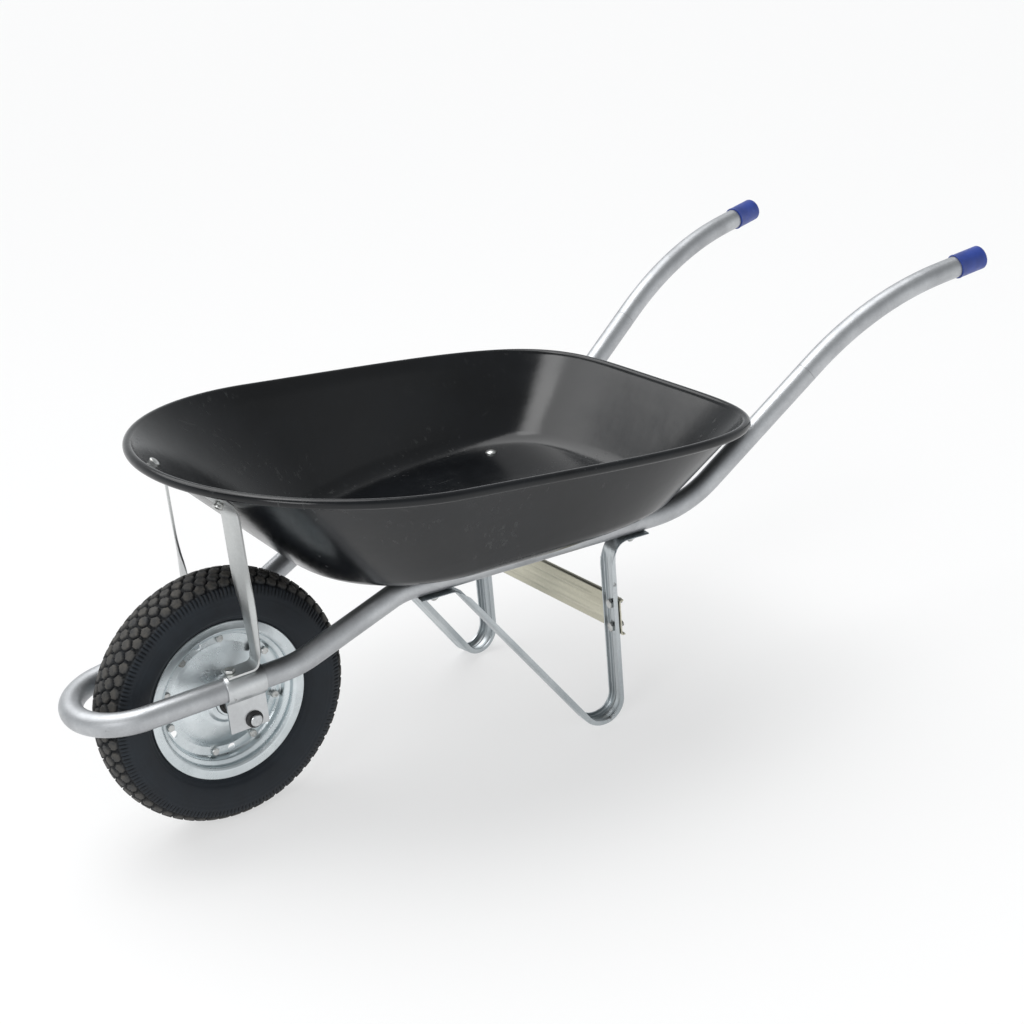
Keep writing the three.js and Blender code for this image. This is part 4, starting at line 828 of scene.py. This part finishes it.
def middle_of(node):
    low, high = (np.array(corner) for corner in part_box(node))
    return ((low + high) / 2 - UNDER_AXLE) / MM


def pole(y, steps=48):
    return turned_points([(0, y)], steps)


def hex_bolt(name, direction, length, size, body):
    flats, head, shank = size
    rings = [pole(-head), hex_rings(hex_profile(flats, -head, 0), flats), turned_points(
        [(shank, 0), *threads(0.2, length - 0.6, shank), (shank - 0.7, length)], 48), pole(length)]
    fastener(name, middle_of(name), direction, rings, body)


def hex_nut(name, direction, size, body):
    """A nut: a chamfered hexagon outside and a plain bore inside."""
    flats, height, bore = size
    outside = hex_rings(hex_profile(flats, 0, height), flats)
    inside = turned_points([(bore + 0.6, height), (bore, height - 0.6), (bore, 0.6), (bore + 0.6, 0)], 48)
    rings = np.vstack([outside, inside, outside[:1]])
    fastener(name, middle_of(name), direction, [rings], body)


def domed_bolt(name, direction, length, body, nut_at=None):
    """A shallow dome, its shank, and for the stays' top bolts the nut on it as well."""
    arc = np.radians(np.linspace(0, 90, 9))[1:]
    dome = turned_points(np.stack([9 * np.sin(arc), -4 * np.cos(arc)], axis=1), 48)
    rings = [pole(-4.0), dome]
    if nut_at is None:
        rings.append(turned_points(threads(0.2, length - 0.6, 4.0), 48))
    else:
        rings += [turned_points([(4.0, 0), (4.0, nut_at)], 48),
                  hex_rings(hex_profile(6.8, nut_at, nut_at + 6.2), 6.8),
                  turned_points(threads(nut_at + 6.4, length - 0.4, 4.0), 48)]
    rings += [turned_points([(3.3, length)], 48), pole(length)]
    fastener(name, middle_of(name), direction, rings, body)


def fasteners():
    down = np.array([0, 0, -1.0])
    for name, side in SIDES.items():
        along, _ = rail_directions(side)
        stack = TRAY_UNDERSIDE + TRAY_SHEET + GAP - (LEG_TAB_HEIGHT - LEG_SHEET / 2 - GAP)
        for end in ("front", "rear"):
            domed_bolt(f"tray_bolt_{end}_{name}", down, stack + 9.2, "frame")
            hex_nut(f"tray_nut_{end}_{name}", down, M8_NUT, "frame")
        through = LEG_SHEET + BRACE_SHEET + 3 * GAP
        for end in ("upper", "lower"):
            hex_bolt(f"brace_bolt_{end}_{name}", along, through + 12.2, M8_BOLT, "frame")
            hex_nut(f"brace_nut_{end}_{name}", along, M8_NUT, "frame")
        foot_down = unit(on_rail(side, FRONT_DOWN[0], FRONT_DOWN[2]) - on_rail(side, 0, 0))
        hex_bolt(f"stay_foot_bolt_{name}", foot_down, 11.5, M8_BOLT, "frame")
        _, _, outward, _, _ = stay_tab(side)
        to_inside = STAY_SHEET / 2 + STAY_STAND + TRAY_SHEET + GAP
        tab = to_inside + STAY_SHEET / 2 + GAP
        domed_bolt(f"stay_top_bolt_{name}", outward, tab + 3, "frame", tab)
    for i in range(1, 9):
        wheel_bolt(f"wheel_bolt_{i}")


def wheel_bolt(name):
    """A small bolt through both discs with its nut, heads outwards on the left side."""
    face = GAP / 2 + 2 + GAP
    high = face + 4.6
    rings = [pole(-face - 3.8), hex_rings(hex_profile(5.0, -face - 3.8, -face), 5.0),
             turned_points([(3.0, -face), (3.0, face)], 48), hex_rings(hex_profile(5.0, face, high), 5.0),
             turned_points([(3.0, high), *threads(high + 0.2, high + 2.6, 3.0, 1.0), (2.4, high + 3)], 48),
             pole(high + 3)]
    fastener(name, middle_of(name), np.array([0, 1.0, 0]), rings, "wheel")


# ---- Wheel ----------------------------------------------------------------------------------------------

TYRE_RADIUS = AXLE_HEIGHT
BLOCK_PITCH = TURN * TYRE_RADIUS / 60
ROW_PITCH = 15.0
GROOVE_DEPTH, SIPE_DEPTH = 4.2, 2.0
OUTER_ROW = 37.2  # from the middle of the tread to the end of its blocks


def smooth_line(points, count):
    """A curve through the points by cubic blending of neighbours, with points at even spacing."""
    p = np.asarray(points, float)
    p = np.vstack([2 * p[0] - p[1], p, 2 * p[-1] - p[-2]])
    t = np.linspace(0, 1, 16, endpoint=False)[:, None]
    parts = []
    for a, b, c, d in zip(p, p[1:], p[2:], p[3:]):
        parts.append(0.5 * (2 * b + (c - a) * t + (2 * a - 5 * b + 4 * c - d) * t ** 2
                            + (3 * b - a - 3 * c + d) * t ** 3))
    line = np.vstack([*parts, p[-2:-1]])
    travelled = np.r_[0, np.cumsum(np.linalg.norm(np.diff(line, axis=0), axis=1))]
    even = np.linspace(0, travelled[-1], count)
    return np.stack([np.interp(even, travelled, line[:, i]) for i in (0, 1)], axis=1)


def soft_step(value, low, high):
    share = np.clip((value - low) / (high - low), 0, 1)
    return share * share * (3 - 2 * share)


def tread_height(along, across):
    """Height of the tread, 0 in a groove to 1 on a block. Blocks are six-sided cells of two staggered
    lattices; a point's margin is its least distance to a cell's sides. Past the outer rows come sipes that
    fade down the shoulder."""
    half_diagonal = math.hypot(BLOCK_PITCH / 2, ROW_PITCH) / 2

    def margin(a, b):
        a, b = np.abs(a), np.abs(b)
        slant = (a * BLOCK_PITCH / 2 + b * ROW_PITCH) / (2 * half_diagonal)
        return np.minimum(BLOCK_PITCH / 2 - a, half_diagonal - slant)

    first = margin(along - np.round(along / BLOCK_PITCH) * BLOCK_PITCH,
                   across - np.round(across / (2 * ROW_PITCH)) * 2 * ROW_PITCH)
    shifted_a, shifted_b = along - BLOCK_PITCH / 2, across - ROW_PITCH
    second = margin(shifted_a - np.round(shifted_a / BLOCK_PITCH) * BLOCK_PITCH,
                    shifted_b - np.round(shifted_b / (2 * ROW_PITCH)) * 2 * ROW_PITCH)
    blocks = soft_step(np.maximum(first, second), 1.0, 2.3)
    edge = np.abs(across)
    sipe_pitch = BLOCK_PITCH / 3
    sipe = np.abs(along - np.round(along / sipe_pitch) * sipe_pitch)
    depth = soft_step(edge, 36, 38) * (1 - soft_step(edge, 46, 54))
    sipes = 1 - (1 - soft_step(sipe, 0.35, 1.5)) * depth
    rib = soft_step(np.abs(edge - OUTER_ROW), 0.4, 1.4)
    return np.where(edge < OUTER_ROW, blocks, sipes) * rib


def tyre():
    """Outer skin: the profile carried round the wheel and sunk where the tread has grooves. Inner skin: a
    plain profile. Both meet at the beads."""
    steps = 840
    half_profile = [(103.4, 22.6), (107, 24.8), (113, 25.0), (118.5, 26.2), (121.5, 30.5), (128, 35.8),
                    (139, 39.2),
                    (150, 40), (160, 38.6), (168, 35.6), (174, 31), (178.6, 25), (181.6, 17.5), (183.4, 8.5)]
    profile = np.array(half_profile + [(TYRE_RADIUS, 0)] + [(r, -y) for r, y in half_profile[::-1]])
    line = smooth_line(profile, 103)
    line[:, 0] = np.minimum(line[:, 0], TYRE_RADIUS)
    tangent = directions(line)
    outward = np.stack([-tangent[:, 1], tangent[:, 0]], axis=1)
    outward *= np.sign(outward[51, 0])
    travelled = np.r_[0, np.cumsum(np.linalg.norm(np.diff(line, axis=0), axis=1))]
    across = (travelled - travelled[-1] / 2)[:, None]
    angles = np.linspace(0, TURN, steps, endpoint=False)[None]
    height = tread_height(angles * TYRE_RADIUS, across)
    edge = np.abs(across)
    sink = (1 - height) * np.where(edge < OUTER_ROW, GROOVE_DEPTH, SIPE_DEPTH) * (1 - soft_step(edge, 50, 56))
    radius_here = line[:, :1] + 0 * angles
    for ring_radius, depth, width in ((152.0, 0.9, 1.0), (146.5, 0.5, 0.8), (124.0, 0.9, 1.2)):
        side = soft_step(edge, 40, 44)
        sink = sink + side * depth * np.exp(-((radius_here - ring_radius) / width) ** 2)
    skin = line[:, None] - outward[:, None] * sink[..., None]
    inner = np.array([(103.4, -16), (114, -15), (124, -27), (139, -33.5), (152, -33.5), (162, -28), (170,
                                                                                                     -14),
                      (172, 0), (170, 14), (162, 28), (152, 33.5), (139, 33.5), (124, 27), (114,
                                                                                            15), (103.4, 16)])
    rings = np.concatenate([skin, np.repeat(inner[:, None], steps, axis=1)])
    r, y = rings[..., 0], rings[..., 1]
    points = np.stack([r * np.cos(angles), y, r * np.sin(angles)], axis=2) + WHEEL_CENTRE
    mesh = bpy.data.meshes.new("tyre_blocks")
    faces = grid_faces(len(rings), steps, wrap_rows=True)[:, ::-1]
    mesh.from_pydata((points.reshape(-1, 3) * MM + UNDER_AXLE).tolist(), [], faces.tolist())
    top = np.zeros(rings.shape[:2])
    groove = np.zeros(rings.shape[:2])
    top[:len(line)] = height * (1 - soft_step(edge, 34, 40))
    # The groove values mark where the finish paints shade into the tread's recesses.
    groove[:len(line)] = (1 - height) * (1 - soft_step(edge, 48, 56))
    for label, values in (("block_top", top), ("groove", groove)):
        mesh.attributes.new(label, "FLOAT", "POINT").data.foreach_set("value",
                                                                      values.ravel().astype(np.float32))
    shade(mesh, 60)
    place("tyre_blocks", mesh, RUBBER, ["tyre"], "wheel")


def rim_half(name, side):
    """A pressed half rim turned about the axle: cone from the hub, flat ring, well, bead seat and flange, all
    as a bent line with rounded corners and the sheet's thickness. Lightening holes are cut through it."""
    skin, flange = GAP / 2 + 1, 26.3
    line = rounded([(21.6, 26, 0), (27.5, 26, 3.5), (33, 20.2, 4), (39, 19.6, 5), (72.5, 3.2, 8), (78, skin,
                                                                                                   4),
                    (90.6, skin, 1.6), (93.5, 4.2, 1.8), (93.5, 13, 3), (101, 16.5, 3), (101, 23.6, 2.2),
                    (104.5, flange, 2), (116, flange, 0)], 7)
    tangent = directions(line)
    across = np.stack([-tangent[:, 1], tangent[:, 0]], axis=1)
    lip = np.array([[117.0, flange]])
    profile = np.vstack([line + across, lip, (line - across)[::-1]]) * [1, side]
    profile[:, 0] = np.minimum(profile[:, 0], 117.0)
    mesh = turned_mesh("rim", profile, WHEEL_CENTRE, steps=168, closed=True)
    cutters = []
    for degrees in (8, 106, 203, 272):
        a = math.radians(degrees)
        out, round_way = np.array([math.cos(a), 0, math.sin(a)]), np.array([-math.sin(a), 0, math.cos(a)])
        angles = np.linspace(math.pi, TURN, 17)
        shape = np.vstack([6.2 * np.stack([np.cos(angles), np.sin(angles)], axis=1), [(6.2, 2.4), (-6.2,
                                                                                                   2.4)]])
        rim_point = WHEEL_CENTRE + 85.5 * out
        rings = [rim_point + shape[:, :1] * round_way + shape[:, 1:] * out + [0, y, 0] for y in (-9, 9)]
        count = len(shape)
        ends = [np.arange(count)[::-1][None], (np.arange(count) + count)[None]]
        cutters.append(make_mesh("hole", np.vstack(rings), [grid_faces(2, count), *ends]))
    place(f"rim_pressing_{name}", drilled(mesh, cutters), WHEEL_ZINC, [f"rim_{name}"], "wheel")


def ring_profile(radius, bore, start, end, bevel=0.8):
    return [(bore, start), (radius - bevel, start), (radius, start + bevel), (radius, end - bevel),
            (radius - bevel, end), (bore, end)]


def hub_and_axle():
    def part(name, node, profile, finish, body, slot, closed=True):
        mesh = turned_mesh(name, profile, WHEEL_CENTRE, steps=72, closed=closed)
        place(name, mesh, finish, [node], body)

    part("hub_tube", "hub", ring_profile(21, 18, -31, 31), WHEEL_ZINC, "wheel", "wheel_zinc")
    for name, side in SIDES.items():
        start, end = sorted((side * 29.5, side * 15.5))
        profile = ring_profile(17.7, 8.9, start, end)
        part(f"bearing_{name}", f"hub_bearing_{name}", profile, BLACK_PLASTIC, "wheel", "black_plastic")
        start, end = sorted((side * 31.3, side * 88.1))
        profile = ring_profile(12.5, 8.9, start, end)
        part(f"spacer_{name}", f"axle_spacer_{name}", profile, AXLE_STEEL, "frame", "fastener_zinc")
        start, end = sorted((side * 88.4, side * 102.4))
        profile = ring_profile(12.0, 8.9, start, end, 1.6)
        part(f"insert_{name}", f"axle_insert_{name}", profile, BLACK_PLASTIC, "frame", "black_plastic")
    end = AXLE_END
    bar = [(0, -end), (7.4, -end), (8.5, 1.1 - end), (8.5, end - 1.1), (7.4, end), (0, end)]
    part("axle_bar", "axle", bar, AXLE_STEEL, "frame", "fastener_zinc", closed=False)


def valve():
    """Rubber-covered stem and a ribbed cap, pointing at the axle from the well of the left half rim."""
    a = math.radians(46)
    out = np.array([math.cos(a), 0, math.sin(a)])
    base = WHEEL_CENTRE + [0, -8.5, 0]
    stem = [(0, 82.3), (2.6, 82.3), (2.9, 83), (2.9, 88), (4, 90), (4, 102.7), (0, 102.7)]
    cap = [(0, 74), (2.6, 74), (3.4, 74.6), (4, 75.6), (4, 81.4), (3.7, 82), (0, 82)]
    for name, node, profile in (("valve_stem_rubber", "valve_stem", stem), ("valve_cap_ribbed", "valve_cap",
                                                                            cap)):
        mesh = turned_mesh(name, profile, base, out, 40)
        place(name, mesh, BLACK_PLASTIC, [node], "wheel")


# ---- The barrow -----------------------------------------------------------------------------------------

frame_tube()
tray()
cross_brace()
for side_name, side_sign in SIDES.items():
    handle(side_name, side_sign)
    leg(side_name, side_sign)
    stay(side_name, side_sign)
    bracket(side_name, side_sign)
    rim_half(side_name, side_sign)
tyre()
hub_and_axle()
valve()
fasteners()
inner_tube = NODES["inner_tube"]
inner_tube.data.materials.clear()
inner_tube.data.materials.append(TUBE_RUBBER)


# ---- Floor, light and camera ----------------------------------------------------------------------------

def pale_floor():
    mesh = bpy.data.meshes.new("floor")
    reach = 30.0
    corners = [(-reach, -reach, 0), (reach, -reach, 0), (reach, reach, 0), (-reach, reach, 0)]
    mesh.from_pydata(corners, [], [(0, 1, 2, 3)])
    f = Finish("pale_floor", roughness=0.8, Specular_IOR_Level=0.1, Emission_Strength=0.58)
    f.shader.inputs["Base Color"].default_value = (0.36, 0.36, 0.36, 1.0)
    f.shader.inputs["Emission Color"].default_value = (1.0, 1.0, 1.0, 1.0)
    mesh.materials.append(f.material)
    floor = bpy.data.objects.new("floor", mesh)
    bpy.context.scene.collection.objects.link(floor)


def soft_light(name, position, target, size, power, colour=(1, 1, 1)):
    light = bpy.data.lights.new(name, "AREA")
    light.shape, light.size, light.energy, light.color = "SQUARE", size, power, colour
    lamp = bpy.data.objects.new(name, light)
    lamp.location = position
    lamp.rotation_euler = (Vector(target) - Vector(position)).to_track_quat("-Z", "Y").to_euler()
    bpy.context.scene.collection.objects.link(lamp)


def studio():
    """A pale room that is brightest at eye level, with a broad lamp high behind the barrow and two boxes."""
    world = bpy.data.worlds.new("studio")
    bpy.context.scene.world = world
    world.use_nodes = True
    tree = world.node_tree
    background = next(n for n in tree.nodes if n.type == "BACKGROUND")
    where = tree.nodes.new("ShaderNodeTexCoord")
    split = tree.nodes.new("ShaderNodeSeparateXYZ")
    ramp = tree.nodes.new("ShaderNodeMapRange")
    tree.links.new(where.outputs["Generated"], split.inputs[0])
    tree.links.new(split.outputs[2], ramp.inputs[0])
    for socket, value in ((1, 0.05), (2, 0.6), (3, 0.92), (4, 0.38)):
        ramp.inputs[socket].default_value = value
    background.inputs["Color"].default_value = (0.96, 0.985, 1.0, 1.0)
    tree.links.new(ramp.outputs[0], background.inputs["Strength"])
    broad = bpy.data.lights.new("broad_overhead", "SUN")
    broad.energy, broad.angle = 2.0, math.radians(62)
    lamp = bpy.data.objects.new("broad_overhead", broad)
    lamp.rotation_euler = Vector((-0.09, 0.42, 0.9)).to_track_quat("Z", "Y").to_euler()
    bpy.context.scene.collection.objects.link(lamp)
    soft_light("overhead", (-0.9, 0.5, 3.4), (0, 0, 0.3), 1.2, 14)
    soft_light("near_left", (-2.8, -1.6, 1.9), (0, 0, 0.3), 1.2, 20)


CAMERA_AZIMUTH, CAMERA_HEIGHT, CAMERA_ROLL = -33.99, 22.65, -4.99  # degrees
CAMERA_DISTANCE, CAMERA_LENS = 2.7584, 64.37
CAMERA_AIM = np.array([-0.0026, 0.0, 0.2985])


def camera():
    azimuth, height = math.radians(CAMERA_AZIMUTH), math.radians(CAMERA_HEIGHT)
    back = np.array([math.sin(azimuth) * math.cos(height), -math.cos(azimuth) * math.cos(height),
                     math.sin(height)])
    right = unit(np.cross(-back, [0.0, 0.0, 1.0]))
    up = np.cross(back, right)
    matrix = Matrix([[right[i], up[i], back[i]] for i in range(3)]).to_4x4()
    matrix = matrix @ Matrix.Rotation(math.radians(CAMERA_ROLL), 4, "Z")
    matrix.translation = Vector(CAMERA_AIM + back * CAMERA_DISTANCE)
    lens = bpy.data.cameras.new("camera")
    lens.lens, lens.sensor_width = CAMERA_LENS, 36.0
    eye = bpy.data.objects.new("camera", lens)
    eye.matrix_world = matrix
    bpy.context.scene.collection.objects.link(eye)
    bpy.context.scene.camera = eye


pale_floor()
studio()
camera()
bpy.context.scene.view_settings.view_transform = "Standard"
